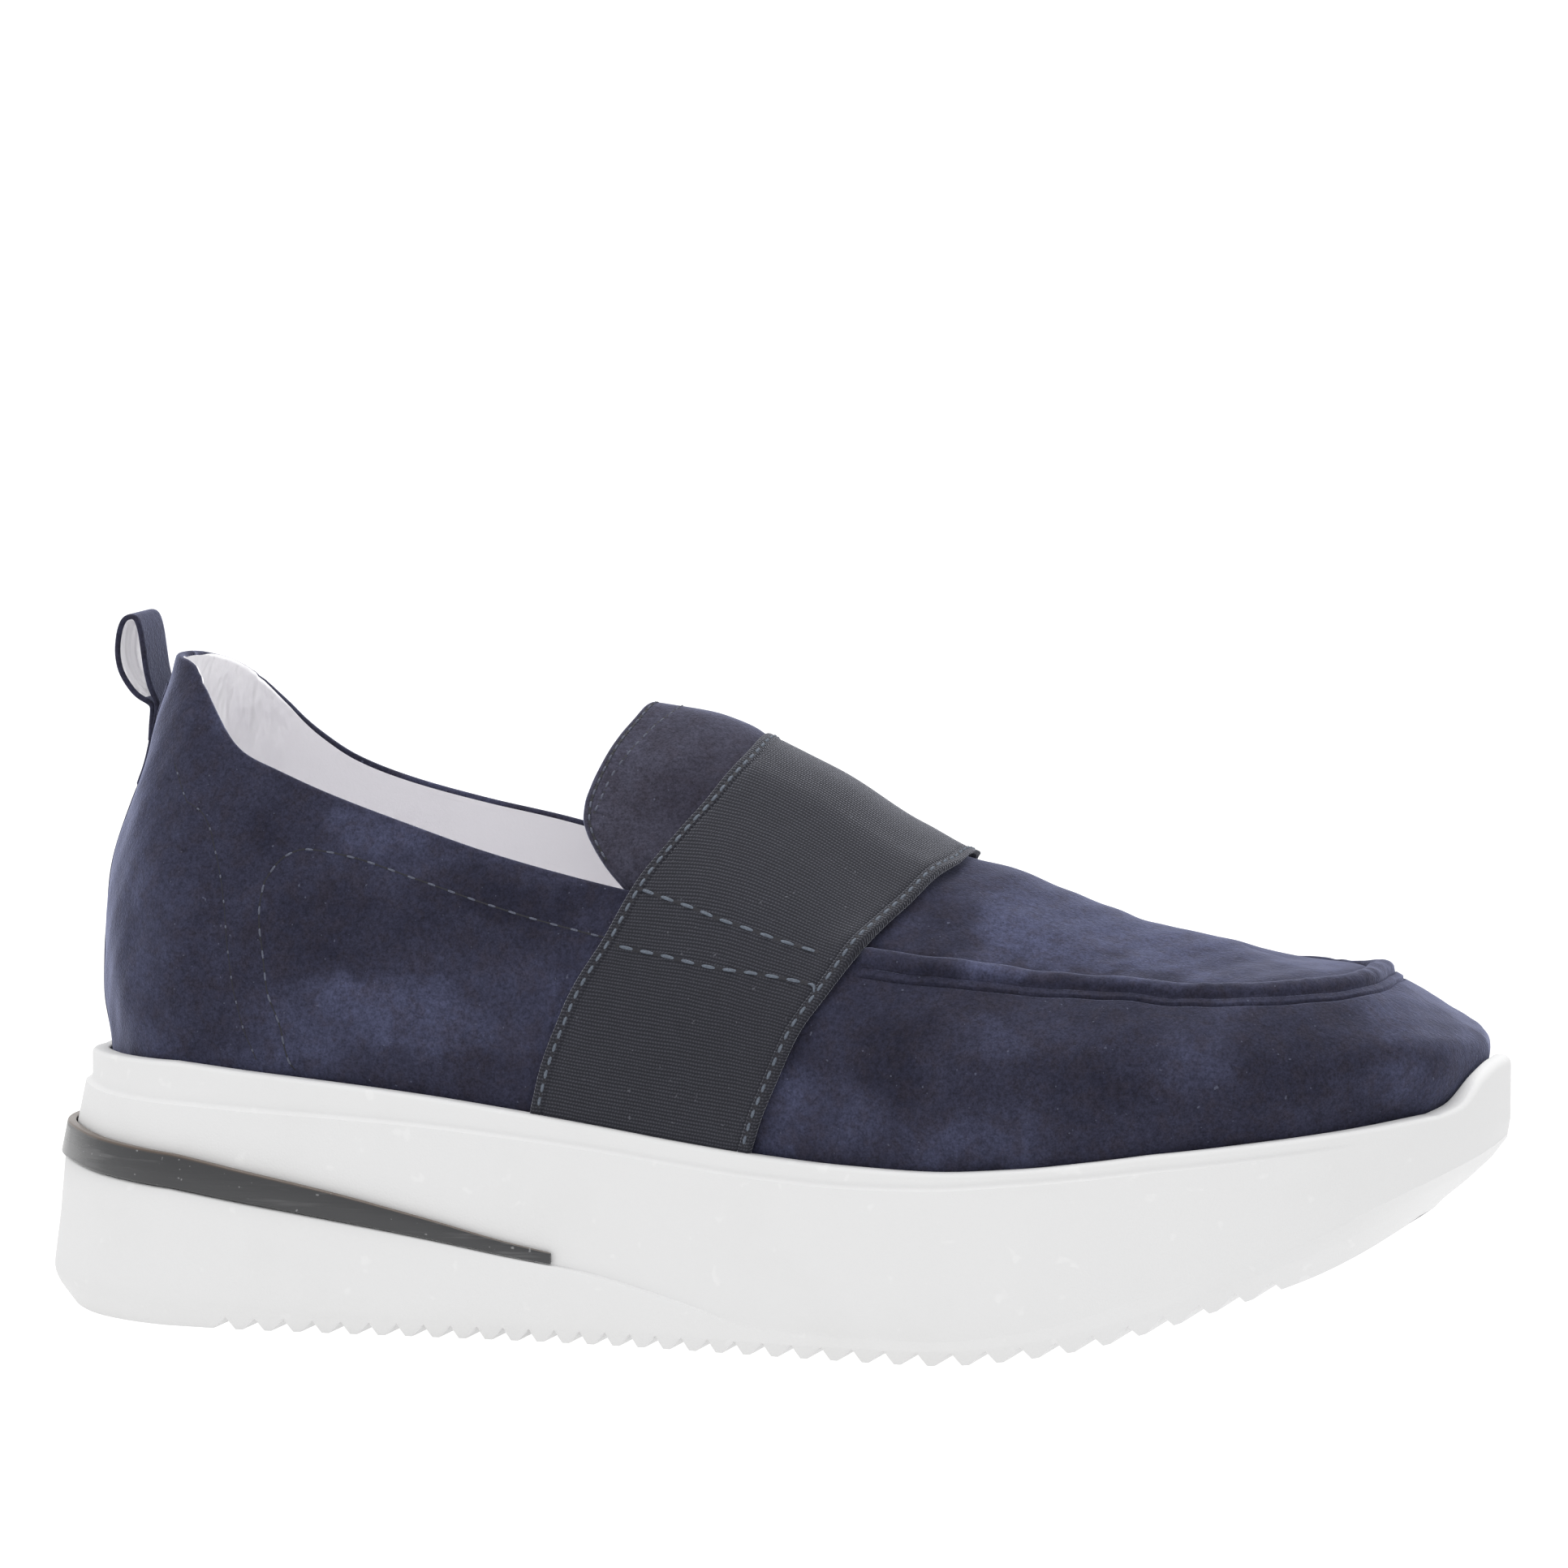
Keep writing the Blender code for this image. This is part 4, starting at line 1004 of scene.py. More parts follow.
@dataclass(frozen=True)
class Suede:
    """Napped leather: cloudy where it was brushed, fuzzy at its edges, with painted sheen and a painted
    shadow in a few of its patches.
    """

    name: str = "navy_suede"
    deep: Colour = (0.0120, 0.0121, 0.0228)
    middle: Colour = (0.0242, 0.0247, 0.0434)
    pale: Colour = (0.0500, 0.0545, 0.0980)
    brown: Colour = (0.0210, 0.0175, 0.0240)
    fuzz: Colour = (0.56, 0.60, 0.86)
    lint: Colour = (0.115, 0.125, 0.175)
    patches: tuple[TonePatch, ...] = NAP_AND_PAINTED_LIGHT
    patch_strength: float = 0.42

    def brushing(self, bench: Bench) -> Shade:
        """Which way the nap lies, with the patches of painted sheen and painted shadow added in: 0 dark,
        0.5 as it comes, 1 pale.
        """
        warp_x = (bench.noise(38.0, 3.0, 0.6) - 0.5) * 0.034
        warp_z = (bench.noise(46.0, 3.0, 0.6, 0.2) - 0.5) * 0.026
        x = bench.axis("X") + warp_x
        z = bench.axis("Z") + warp_z
        clouds = bench.noise(30.0, 3.0, 0.55, 0.5)
        blots = bench.noise(120.0, 3.0, 0.6, 0.4)
        total = 0.5 + (clouds - 0.5) * 0.45 + (blots - 0.5) * 0.50
        # Patches lighten or darken the suede: most stand for the nap, some are painted sheen and painted
        # shadow
        for patch in self.patches:
            across = (x - patch.x * MM) * (1 / (patch.wide * MM))
            over = (z - patch.z * MM) * (1 / (patch.tall * MM))
            light = self.patch_strength * patch.light
            total = total + (across * across + over * over).step(0.0, 1.8, light, 0.0)
        return total

    def material(self) -> bpy.types.Material:
        """Builds the material."""
        bench = Bench(self.name)
        # The nap's lie here also carries the painted sheen and painted shadow of the patches
        lie = self.brushing(bench)
        tone = bench.mix(lie.step(0.05, 0.55), self.deep, self.middle)
        tone = bench.mix(lie.step(0.45, 1.05), tone, self.pale)
        warm = bench.noise(34.0, 2.0, 0.5, 0.3, bench.place((1.0, 1.0, 0.6))).step(0.55, 0.78)
        tone = bench.mix(warm * (1.0 - lie.step(0.25, 0.65)) * 0.8, tone, self.brown)
        mottle = bench.noise(300.0, 3.0, 0.65, 0.3)
        tone = bench.mix(mottle.step(0.42, 0.68) * 0.42, tone, bench.scaled(self.brown, 0.9 + 0.6 * lie))
        fibres = bench.noise(1150.0, 3.0, 0.7)
        grains = bench.noise(2600.0, 2.0, 0.6)
        nap = fibres.step(0.28, 0.72) * 0.6 + grains.step(0.30, 0.70) * 0.5
        tone = bench.scaled(tone, 0.60 + 0.86 * nap)
        specks = bench.noise(1250.0, 1.0, 0.3).step(0.765, 0.80)
        tone = bench.mix(specks * 0.45, tone, self.lint)
        soft = bench.bump(lie, 0.0012, 0.20)
        normal = bench.bump(fibres * 0.6 + grains * 0.4, 0.00034, 0.6, soft)
        return bench.dress(
            Base_Color=tone, Roughness=0.88 + 0.1 * grains, Normal=normal, Sheen_Weight=0.70,
            Sheen_Roughness=0.32, Sheen_Tint=self.fuzz, Specular_IOR_Level=0.12,
        )


@dataclass(frozen=True)
class Elastic:
    """Woven elastic with fine ribs across its width."""

    name: str = "charcoal_elastic"
    cord: Colour = (0.047, 0.048, 0.060)
    gap: Colour = (0.012, 0.0125, 0.0175)
    dust: Colour = (0.14, 0.145, 0.17)
    fuzz: Colour = (0.76, 0.78, 0.88)
    rib_pitch: float = 0.00068
    thread_pitch: float = 0.00056

    def material(self) -> bpy.types.Material:
        """Builds the material."""
        bench = Bench(self.name)
        across = bench.weave("X")
        along = bench.weave("Y")
        drift = (bench.noise(160.0, 2.0, 0.5) - 0.5) * 0.0005
        rib_turn = (along + drift) * (2 * math.pi / self.rib_pitch)
        ribs = rib_turn.sine() * 0.5 + 0.5
        shift = (rib_turn * 0.5).sine() * 1.4
        threads = ((across + drift) * (2 * math.pi / self.thread_pitch) + shift).sine() * 0.5 + 0.5
        lint = bench.noise(2400.0, 3.0, 0.7)
        cloud = bench.noise(45.0, 3.0, 0.5)
        blots = bench.noise(520.0, 2.0, 0.6)
        weave = ribs * (0.22 + 0.46 * threads) + lint * 0.48
        tone = bench.mix(weave.step(0.22, 0.92), self.gap, self.cord)
        tone = bench.scaled(tone, 0.74 + 0.30 * cloud + 0.30 * blots)
        specks = bench.noise(1300.0, 1.0, 0.3).step(0.765, 0.80)
        tone = bench.mix(specks * 0.4, tone, self.dust)
        normal = bench.bump(weave, 0.00026, 0.75)
        return bench.dress(
            Base_Color=tone, Roughness=0.70 + 0.15 * lint, Normal=normal, Sheen_Weight=0.75,
            Sheen_Roughness=0.28, Sheen_Tint=self.fuzz, Specular_IOR_Level=0.22,
        )


@dataclass(frozen=True)
class Foam:
    """Matt white moulded foam rubber."""

    name: str = "white_foam"
    white: Colour = (0.657, 0.657, 0.659)
    grey: Colour = (0.617, 0.617, 0.615)
    bright: Colour = (0.79, 0.79, 0.79)
    grime: Colour = (0.60, 0.59, 0.57)

    def material(self) -> bpy.types.Material:
        """Builds the material."""
        bench = Bench(self.name)
        skin = bench.noise(2400.0, 2.0, 0.5)
        smudge = bench.noise(55.0, 4.0, 0.55, 0.4)
        marks = bench.noise(240.0, 2.0, 0.5, 0.2).step(0.66, 0.74)
        low = 1.0 - bench.axis("Z").step(0.0, 0.010)
        tone = bench.mix(smudge.step(0.45, 0.80) * 0.30, self.white, self.grey)
        tone = bench.mix(marks * 0.22, tone, self.bright)
        tone = bench.mix(low * smudge * 0.25, tone, self.grime)
        normal = bench.bump(skin, 0.00008, 0.5, bench.bump(smudge, 0.0007, 0.18))
        return bench.dress(
            Base_Color=tone, Roughness=0.52 + 0.12 * smudge, Normal=normal,
            Specular_IOR_Level=0.35,
        )


@dataclass(frozen=True)
class Gloss:
    """Glossy anthracite trim with fine slanting scratches and a worn brown edge."""

    name: str = "anthracite_gloss"
    dark: Colour = (0.027, 0.0275, 0.030)
    worn: Colour = (0.105, 0.070, 0.048)
    scratch: Colour = (0.085, 0.085, 0.088)
    dust: Colour = (0.30, 0.30, 0.31)

    def material(self) -> bpy.types.Material:
        """Builds the material."""
        bench = Bench(self.name)
        slant = bench.place((55.0, 55.0, 900.0), (0.0, 27.0, 0.0))
        scratches = bench.noise(1.0, 3.0, 0.6, 0.0, slant)
        cloud = bench.noise(60.0, 3.0, 0.55, 0.5)
        specks = bench.noise(1100.0, 1.0, 0.3).step(0.75, 0.79)
        edge = bench.weave("Y").step(0.90, 1.0)
        scratched = scratches.step(0.52, 0.70) * cloud.step(0.42, 0.58) * 0.7
        tone = bench.mix(scratched, self.dark, self.scratch)
        tone = bench.mix(edge * 0.8, tone, self.worn)
        tone = bench.mix(specks * 0.5, tone, self.dust)
        rough = 0.20 + 0.22 * scratches.step(0.50, 0.80) + 0.10 * cloud
        normal = bench.bump(scratches, 0.00006, 0.6, bench.bump(cloud, 0.0008, 0.25))
        return bench.dress(Base_Color=tone, Roughness=rough, Normal=normal, Specular_IOR_Level=0.55)


@dataclass(frozen=True)
class Lining:
    """Smooth pale lining leather, creased at the heel."""

    name: str = "pale_lining"
    pale: Colour = (0.950, 0.942, 0.965)
    dull: Colour = (0.87, 0.857, 0.892)
    creased: bool = True

    def material(self) -> bpy.types.Material:
        """Builds the material."""
        bench = Bench(self.name)
        grain = bench.noise(1800.0, 3.0, 0.6)
        cloud = bench.noise(40.0, 3.0, 0.5, 0.3)
        tone = bench.mix(cloud.step(0.45, 0.75) * 0.5, self.pale, self.dull)
        normal = bench.bump(grain, 0.00010, 0.4)
        if self.creased:
            folds = bench.noise(300.0, 2.0, 0.45, 0.1, bench.place((1.0, 1.0, 0.16), (0.0, 14.0, 0.0)))
            heel = (1.0 - bench.axis("X").step(-0.106, -0.092)) * bench.axis("Z").step(0.092, 0.108)
            normal = bench.bump(folds * heel, 0.0034, 0.8, normal)
            tone = bench.mix(folds.step(0.50, 0.66) * heel * 0.5, tone, self.dull)
        return bench.dress(Base_Color=tone, Roughness=0.55 + 0.15 * grain, Normal=normal,
                           Specular_IOR_Level=0.35, Sheen_Weight=0.15)


@dataclass(frozen=True)
class Thread:
    """Sewing thread."""

    name: str
    colour: Colour

    def material(self) -> bpy.types.Material:
        """Builds the material."""
        bench = Bench(self.name)
        ply = bench.noise(3500.0, 2.0, 0.6)
        tone = bench.mix(ply.step(0.35, 0.70), tuple(0.6 * c for c in self.colour), self.colour)
        return bench.dress(Base_Color=tone, Roughness=0.6 + 0.1 * ply, Normal=bench.bump(ply, 0.0001, 0.6),
                           Specular_IOR_Level=0.4)


@dataclass(frozen=True)
class Backdrop:
    """Plain pale light table."""

    name: str = "pale_floor"
    pale: Colour = (0.22, 0.22, 0.22)
    grey: Colour = (0.20, 0.20, 0.20)
    light: Colour = (1.0, 1.0, 1.0)
    glow: float = 0.98

    def material(self) -> bpy.types.Material:
        """Builds the material."""
        bench = Bench(self.name)
        tone = bench.mix(bench.noise(3.0, 1.0) * 0.1, self.pale, self.grey)
        return bench.dress(Base_Color=tone, Roughness=0.85, Specular_IOR_Level=0.1,
                           Emission_Color=self.light, Emission_Strength=self.glow)


# Girth of a stitch along its length and how deep it lies, as shares of its radius
STITCH_GIRTH = (0.15, 0.72, 0.96, 1.0, 0.96, 0.72, 0.15)
STITCH_SINK = (-0.9, -0.25, 0.05, 0.15, 0.05, -0.25, -0.9)


def made(look: Any) -> Any:
    """Field that holds a look's material, built when its owner is."""
    return field(default_factory=look.material)


# Patches of the tab: the first is painted sheen along the tab's top, the others nap
TAB_NAP_AND_SHEEN = (
    TonePatch(-22.0, 118.0, 16.0, 6.0, 0.6), TonePatch(-8.0, 97.0, 9.0, 9.0, -0.6),
    TonePatch(-30.0, 103.0, 4.0, 12.0, 0.4),
)


@dataclass
class Kit:
    """The materials, one of each finish."""

    suede: bpy.types.Material = made(Suede())
    tongue: bpy.types.Material = made(Suede(
        "tongue_suede", deep=(0.0215, 0.0200, 0.0310), middle=(0.0395, 0.0385, 0.0565),
        pale=(0.0640, 0.0650, 0.0990), patches=TAB_NAP_AND_SHEEN))
    elastic: bpy.types.Material = made(Elastic())
    foam: bpy.types.Material = made(Foam())
    gloss: bpy.types.Material = made(Gloss())
    lining: bpy.types.Material = made(Lining())
    footbed: bpy.types.Material = made(Lining(
        "footbed_leather", pale=(0.66, 0.64, 0.68), creased=False))
    blue_thread: bpy.types.Material = made(Thread("blue_thread", (0.118, 0.140, 0.178)))
    grey_thread: bpy.types.Material = made(Thread("grey_thread", (0.098, 0.108, 0.150)))
    dark_thread: bpy.types.Material = made(Thread("dark_thread", (0.085, 0.092, 0.130)))
    # Flat dark colour of the painted shade at the needle holes and along the stitches' grooves
    hole: bpy.types.Material = made(Thread("needle_hole_shade", (0.011, 0.011, 0.018)))


@dataclass
class Piece:
    last: Last
    kit: Kit


@dataclass
class StitchRow:
    """A row of sewn stitches along a line on a surface, with painted shade at the needle holes and along
    the thread's groove.
    """

    pitch: float = 2.5
    length: float = 1.7
    radius: float = 0.26
    lift: float = 0.10
    # Sizes of the painted shade: a dark disc at each needle's entry and a dark strip along the thread's
    # groove
    hole: float = 0.0
    channel: float = 0.0
    flat: float = 0.8
    hole_long: float = 1.2
    hole_lift: float = 0.05
    hole_sides: int = 8
    sides: int = 6

    def dent(self, patches: Patches, at: Array, across: Array, ahead: Array, normal: Array) -> None:
        """Adds a flat dark disc of painted shade where the needle went in, at one end of a stitch."""
        turn = np.linspace(0, 2 * math.pi, self.hole_sides, endpoint=False)[:, None]
        out = np.cos(turn) * ahead * self.hole_long + np.sin(turn) * across
        middle = at + (self.hole_lift + 0.02) * normal
        patches.fan(at + self.hole * out + self.hole_lift * normal, middle, finish=1)

    def crease(self, patches: Patches, path: Array, normals: Array) -> None:
        """Adds a narrow dark strip of painted shade where the tight thread pulls a groove into the suede.
        """
        across = unit(np.cross(normals, np.gradient(path, axis=0))) * self.channel
        rows = [path + across, path + 0.04 * normals, path - across]
        patches.grid(np.stack(rows, axis=1) + 0.02 * normals[:, None, :], finish=1, flip=True)

    def lay(self, patches: Patches, path: Array, normals: Array) -> None:
        """Adds the stitches along a line, with their painted shade.

        Args:
            patches: Where they go.
            path: Points of the line, in millimetres.
            normals: The surface's normals there.
        """
        run = lengths_along(path)
        if self.channel:
            self.crease(patches, path, normals)
        along = np.linspace(-0.5, 0.5, len(STITCH_GIRTH)) * self.length
        rise = self.lift + np.array(STITCH_SINK)[:, None] * self.radius
        turn = np.linspace(0, 2 * math.pi, self.sides, endpoint=False)[None, :, None]
        girth = np.array(STITCH_GIRTH)[:, None, None] * self.radius
        wide = np.cos(turn) * girth
        tall = np.sin(turn) * girth * self.flat
        for middle in np.arange(0.5 * self.pitch, run[-1] - 0.5 * self.length, self.pitch):
            at = middle + along
            centre = np.stack([np.interp(at, run, path[:, k]) for k in range(3)], axis=-1)
            normal = unit(np.stack([np.interp(at, run, normals[:, k]) for k in range(3)], axis=-1))
            ahead = unit(centre[-1] - centre[0])
            across = np.cross(normal, ahead)
            if self.hole:
                for end in (0, -1):
                    self.dent(patches, centre[end], across[end], ahead, normal[end])
            centre = centre + normal * rise
            patches.tube(centre[:, None] + across[:, None] * wide + normal[:, None] * tall)


# Soft waves of the suede and of the tab: height, three wave numbers a millimetre, start
SUEDE_WAVES = (
    (0.16, 0.021, 0.013, 0.034, 0.1), (0.12, 0.047, -0.019, 0.028, 0.6),
    (0.07, 0.083, 0.041, -0.062, 0.3), (0.05, -0.11, 0.07, 0.09, 0.8),
)
TAB_WAVES = ((0.5, 0.04, 0.03, 0.05, 0.2), (0.4, 0.07, -0.05, 0.02, 0.7))

# Rows of the strap near each edge, in millimetres from it
HEM_ROWS = (0.0, 0.12, 0.3, 0.55, 0.85, 1.15, 1.4, 1.7, 2.0, 2.25, 2.45, 2.65, 2.95)

# Section of the sole's groove: share of its half height, share of its depth
GROOVE_SHAPE = (
    (1.0, 0.0), (0.7, 0.35), (0.3, 0.85), (0.0, 1.0), (-0.3, 0.85), (-0.7, 0.35), (-1.0, 0.0),
)


def edge_round(distance: Array, radius: float) -> Array:
    """Share of the full thickness at a distance in from a rounded edge."""
    u = np.clip(distance / radius, 0.0, 1.0)
    return np.sqrt(np.maximum(1 - (1 - u) ** 2, 0.0))


def ripple(points: Array, waves: Sequence[tuple[float, float, float, float, float]]) -> Array:
    """Sum of soft waves through space.

    Args:
        points: Points in millimetres.
        waves: Height, the three wave numbers in turns a millimetre, and a start.

    Returns:
        The height at each point.
    """
    total = np.zeros(points.shape[:-1])
    for height, k_x, k_y, k_z, start in waves:
        phase = points[..., 0] * k_x + points[..., 1] * k_y + points[..., 2] * k_z + start
        total = total + height * np.sin(2 * math.pi * phase)
    return total


@dataclass
class Upper(Piece):
    """Suede upper with its apron seam, rolled collar, back tape and lining."""

    roll_middle: float = 1.0
    roll_half: float = 2.15
    roll_rise: float = 2.3
    flange_low: float = -3.0
    flange_high: float = -1.05
    flange_rise: float = 0.62
    toe_fall: float = 0.16
    seam_low: float = -3.9
    seam_high: float = 3.7
    seam_rows: int = 44
    seam_start: float = 0.688
    seam_full: float = 0.706
    edge_radius: float = 0.85
    edge_inside: float = 1.1
    collar_drop: float = 0.6
    tape_half: float = 6.2
    tape_rise: float = 0.32
    bound_from: float = -0.02
    bound_full: float = 0.06
    nape_bound: float = -0.75
    nape_free: float = -0.25

    def columns(self) -> Array:
        """Ring coordinates of the lines, closest where the ridge starts."""
        half = np.concatenate([
            np.linspace(0, 1, 44, endpoint=False), np.linspace(1, 1.66, 112, endpoint=False),
            np.linspace(1.66, 1.74, 30, endpoint=False), np.linspace(1.74, 2, 50, endpoint=False),
            np.linspace(2, 3, 84, endpoint=False),
        ])
        return np.concatenate([half, [3.0], 6 - half[:0:-1]])

    def shares(self, cut: Cut, drop: float) -> tuple[Array, Array]:
        """Shares of the height line of every row, and distances from the seam.

        Args:
            cut: The sections.
            drop: Millimetres to stop short of the collar's edge.

        Returns:
            Lines by rows of shares, and of millimetres above the seam.
        """
        end = self.last.opening(cut, drop)
        reach = 0.04
        real = self.last.seam(cut.place)
        blend = ease(0.60, 0.66, cut.place)
        seam = real * blend + 0.62 * end * (1 - blend)
        low = cut.spot(cut.reach_at(seam - reach), cut.height_at(seam - reach))
        high = cut.spot(cut.reach_at(seam + reach), cut.height_at(seam + reach))
        per_mm = 2 * reach / np.linalg.norm(high - low, axis=1)
        per_mm = per_mm * (0.35 + 0.65 * blend)
        near = np.linspace(self.seam_low, self.seam_high, self.seam_rows)
        below = np.linspace(0, 1, 46, endpoint=False)[None, :] * (seam + near[0] * per_mm)[:, None]
        ridge = seam[:, None] + near[None, :] * per_mm[:, None]
        top = ridge[:, -1]
        above = top[:, None] + np.linspace(0, 1, 38)[None, 1:] * (end - top)[:, None]
        t = np.concatenate([below, ridge, above], axis=1)
        return t, (t - seam[:, None]) / per_mm[:, None]

    def ridge(self, x: Array, place: Array) -> Array:
        """Height of the apron seam's roll, groove and folded flange.

        Args:
            x: Millimetres above the seam's middle.
            place: Places of the sections, in the same shape.

        Returns:
            Heights in millimetres.
        """
        u = np.clip(np.abs(x - self.roll_middle) / self.roll_half, 0.0, 1.0)
        roll = self.roll_rise * np.sqrt(np.maximum(1 - u ** 2.3, 0.0))
        slope = 0.75 + 0.25 * ease(self.flange_low, self.flange_high, x)
        flange = self.flange_rise * slope * ease(self.flange_low, self.flange_low + 0.2, x)
        flange = flange * (1 - ease(self.flange_high - 0.3, self.flange_high, x))
        dent = -0.30 * bell(x, self.roll_middle + self.roll_half + 0.30, 0.55)
        dent = dent - 0.25 * bell(x, self.flange_high + 0.12, 0.22)
        dent = dent - 0.22 * bell(x, self.flange_low - 0.12, 0.22)
        fade = ease(self.seam_start, self.seam_full, place)
        return (roll + flange + dent) * fade * (1 - self.toe_fall * ease(1.05, 1.30, place))

    def creases(self, ring: Array, t: Array, base: Array) -> Array:
        """Soft troughs and swells that the suede has taken, in millimetres."""
        place = place_of(ring)
        swell = 0.85 * bell(place, 0.802, 0.034) * ease(0.86, 0.97, t)
        fold = -0.55 * bell(place, 0.742, 0.020) * ease(0.72, 0.92, t)
        side = 0.35 * bell(place, 0.86, 0.05) * bell(t, 0.84, 0.06)
        heel = 0.20 * bell(place, -0.62, 0.14) * bell(t, 0.80, 0.08)
        nape = -1.0 * bell(t, 0.73, 0.085) * (1 - ease(-0.80, -0.45, place))
        waist = -0.45 * bell(place, 0.30, 0.12) * bell(t, 0.30, 0.14)
        toe = -1.0 * ease(1.25, 1.8, place) * bell(t, 0.56, 0.13)
        toe = toe - 1.1 * ease(1.50, 1.95, place) * bell(t, 0.40, 0.13)
        ahead = ease(0.80, 1.0, place) * (1 - ease(1.6, 1.9, place))
        far = -0.9 * (ring > 3) * ahead * bell(t, 0.70, 0.10)
        foot = -self.last.heel_tuck(place) * (1 - ease(0.06, 0.30, t))
        return swell + fold + side + heel + nape + waist + toe + far + foot + ripple(base, SUEDE_WAVES)

    def build_shell(self) -> bpy.types.Object:
        """Suede shell with its ridge and the rolled edge of its collar."""
        ring = self.columns()
        cut = self.last.cut(ring)
        t, x = self.shares(cut, self.collar_drop)
        lines = np.broadcast_to(ring[:, None], t.shape)
        base = self.last.skin(lines, t)
        place = np.broadcast_to(cut.place[:, None], t.shape)
        near_edge = ease(0.0, 1.0, 1 - (t[:, -1:] - t) * 12)
        ends = ease(0.0, 0.05, t) * np.where(place < THROAT[-1][0], 1 - near_edge, 1.0)
        wave = 1 + 0.035 * np.sin(place * 47.0 + 2 * np.sin(place * 17.0))
        rise = self.ridge(x, place) * wave + self.creases(lines, t, base) * ends
        shell = self.last.skin(lines, t, rise)
        patches = Patches()
        patches.grid(shell, closed=True)
        open_lines = np.nonzero(cut.place < 0.632)[0]
        toe = len(ring) // 2
        order = np.concatenate([open_lines[open_lines > toe], open_lines[open_lines < toe]])
        ahead = ease(self.bound_from, self.bound_full, cut.place[order])
        behind = 1 - ease(self.nape_bound, self.nape_free, cut.place[order])
        rolled = self.roll(ring[order], t[order, -1], np.maximum(ahead, behind))
        patches.grid(rolled[:, :5])
        patches.grid(rolled[:, 4:], finish=1)
        return set_on(patches.make("upper_suede", [self.kit.suede, self.kit.lining]), "upper", "upper")

    def roll(self, ring: Array, end: Array, bound: Array) -> Array:
        """Rolled edge of the collar, from the outer face over and down the inside.

        Args:
            ring: Ring coordinates of the lines.
            end: Where the shell ends on each line.
            bound: How far the suede wraps over: 0 to the edge's top, 1 to its inside.

        Returns:
            Lines by rows of points.
        """
        edge = self.last.skin(ring, end)
        normal = self.last.normals(ring, end)
        up = unit(edge - self.last.skin(ring, end - 0.02))
        rows = []
        border = (0.5 + 0.48 * bound[:, None]) * math.pi
        shares = np.linspace(0, 1, 5)
        angles = [border * share for share in shares]
        angles += [border + (math.pi - border) * share for share in shares[1:]]
        for angle in angles:
            inward = self.edge_radius * (np.cos(angle) - 1)
            rise = 0.75 * self.edge_radius * np.sin(angle)
            rows.append(edge + normal * inward + up * rise)
        for depth in (0.3, 0.7, self.edge_inside):
            rows.append(edge - normal * (2 * self.edge_radius) - up * depth)
        rows.append(edge - normal * (2 * self.edge_radius - 0.25) - up * (self.edge_inside + 0.05))
        return np.stack(rows, axis=1)

    def build_lining(self) -> bpy.types.Object:
        """Pale lining inside the whole upper."""
        ring = self.columns()[::2]
        cut = self.last.cut(ring)
        end = self.last.opening(cut, self.collar_drop + 0.6 * self.edge_inside)
        t = end[:, None] * np.linspace(0, 1, 52)[None, :]
        lines = np.broadcast_to(ring[:, None], t.shape)
        inner = self.last.skin(lines, t, -WALL + 0.14)
        patches = Patches()
        patches.grid(inner, closed=True, flip=True)
        return set_on(patches.make("upper_lining", [self.kit.lining]), "insole")

    def tape_point(self, across: Array, t: Array, rise: Array) -> Array:
        """Points of the back tape, at millimetres across from the heel's back."""
        back = self.last.cut(np.zeros(across.size))
        reach = back.reach_at(t.ravel()).reshape(t.shape)
        turn = np.degrees(np.arcsin(np.clip(across / reach, -0.95, 0.95))) / 90
        ring = np.mod(-turn, 6.0)
        return self.last.skin(ring, t, rise + self.creases(ring, t, self.last.skin(ring, t)))

    def build_tape(self) -> bpy.types.Object:
        """Tape that covers the back seam from the sole to the pull loop."""
        across = self.tape_half * np.sin(np.linspace(-0.5, 0.5, 27) * math.pi)
        shares = np.linspace(0.0, 0.905, 90)
        wide, tall = np.meshgrid(across, shares)
        rise = self.tape_rise * edge_round(self.tape_half - np.abs(wide), 0.6)
        patches = Patches()
        patches.grid(self.tape_point(wide, tall, rise - 0.02), flip=True)
        return set_on(patches.make("back_tape", [self.kit.suede]), "upper")

    def build_stitches(self) -> bpy.types.Object:
        """Panel stitches on both sides."""
        patches = Patches()
        row = StitchRow(pitch=4.0, length=2.1, radius=0.20, lift=0.02, hole=0.20, channel=0.13)
        fine = StitchRow(pitch=4.6, length=0.9, radius=0.17, lift=0.0, channel=0.09)
        for side in Side:
            for points, kind in ((QUARTER_LINE, row), (COUNTER_LINE, fine)):
                place, share = polyline(points, 260)
                ring = ring_of(side, place)
                path = self.last.skin(ring, share, self.stitch_rise(ring, share))
                kind.lay(patches, path, self.last.normals(ring, share))
        return set_on(patches.make("panel_stitches", [self.kit.grey_thread, self.kit.hole]), "upper")

    def stitch_rise(self, ring: Array, t: Array) -> Array:
        """Height of the creased suede where the stitches lie."""
        return self.creases(np.mod(ring, 6.0), t, self.last.skin(ring, t))

    def build(self) -> None:
        """Builds every piece of the upper."""
        self.build_shell()
        self.build_lining()
        self.build_tape()
        self.build_stitches()


def polyline(points: Sequence[tuple[float, float]], count: int) -> tuple[Array, Array]:
    """Smooth line through pairs of numbers.

    Args:
        points: The pairs, in order.
        count: How many to return.

    Returns:
        The two coordinates along the line.
    """
    data = np.asarray(points, float)
    run = lengths_along(data)
    found = Curve(run, data)(np.linspace(0, run[-1], count))
    return found[:, 0], found[:, 1]


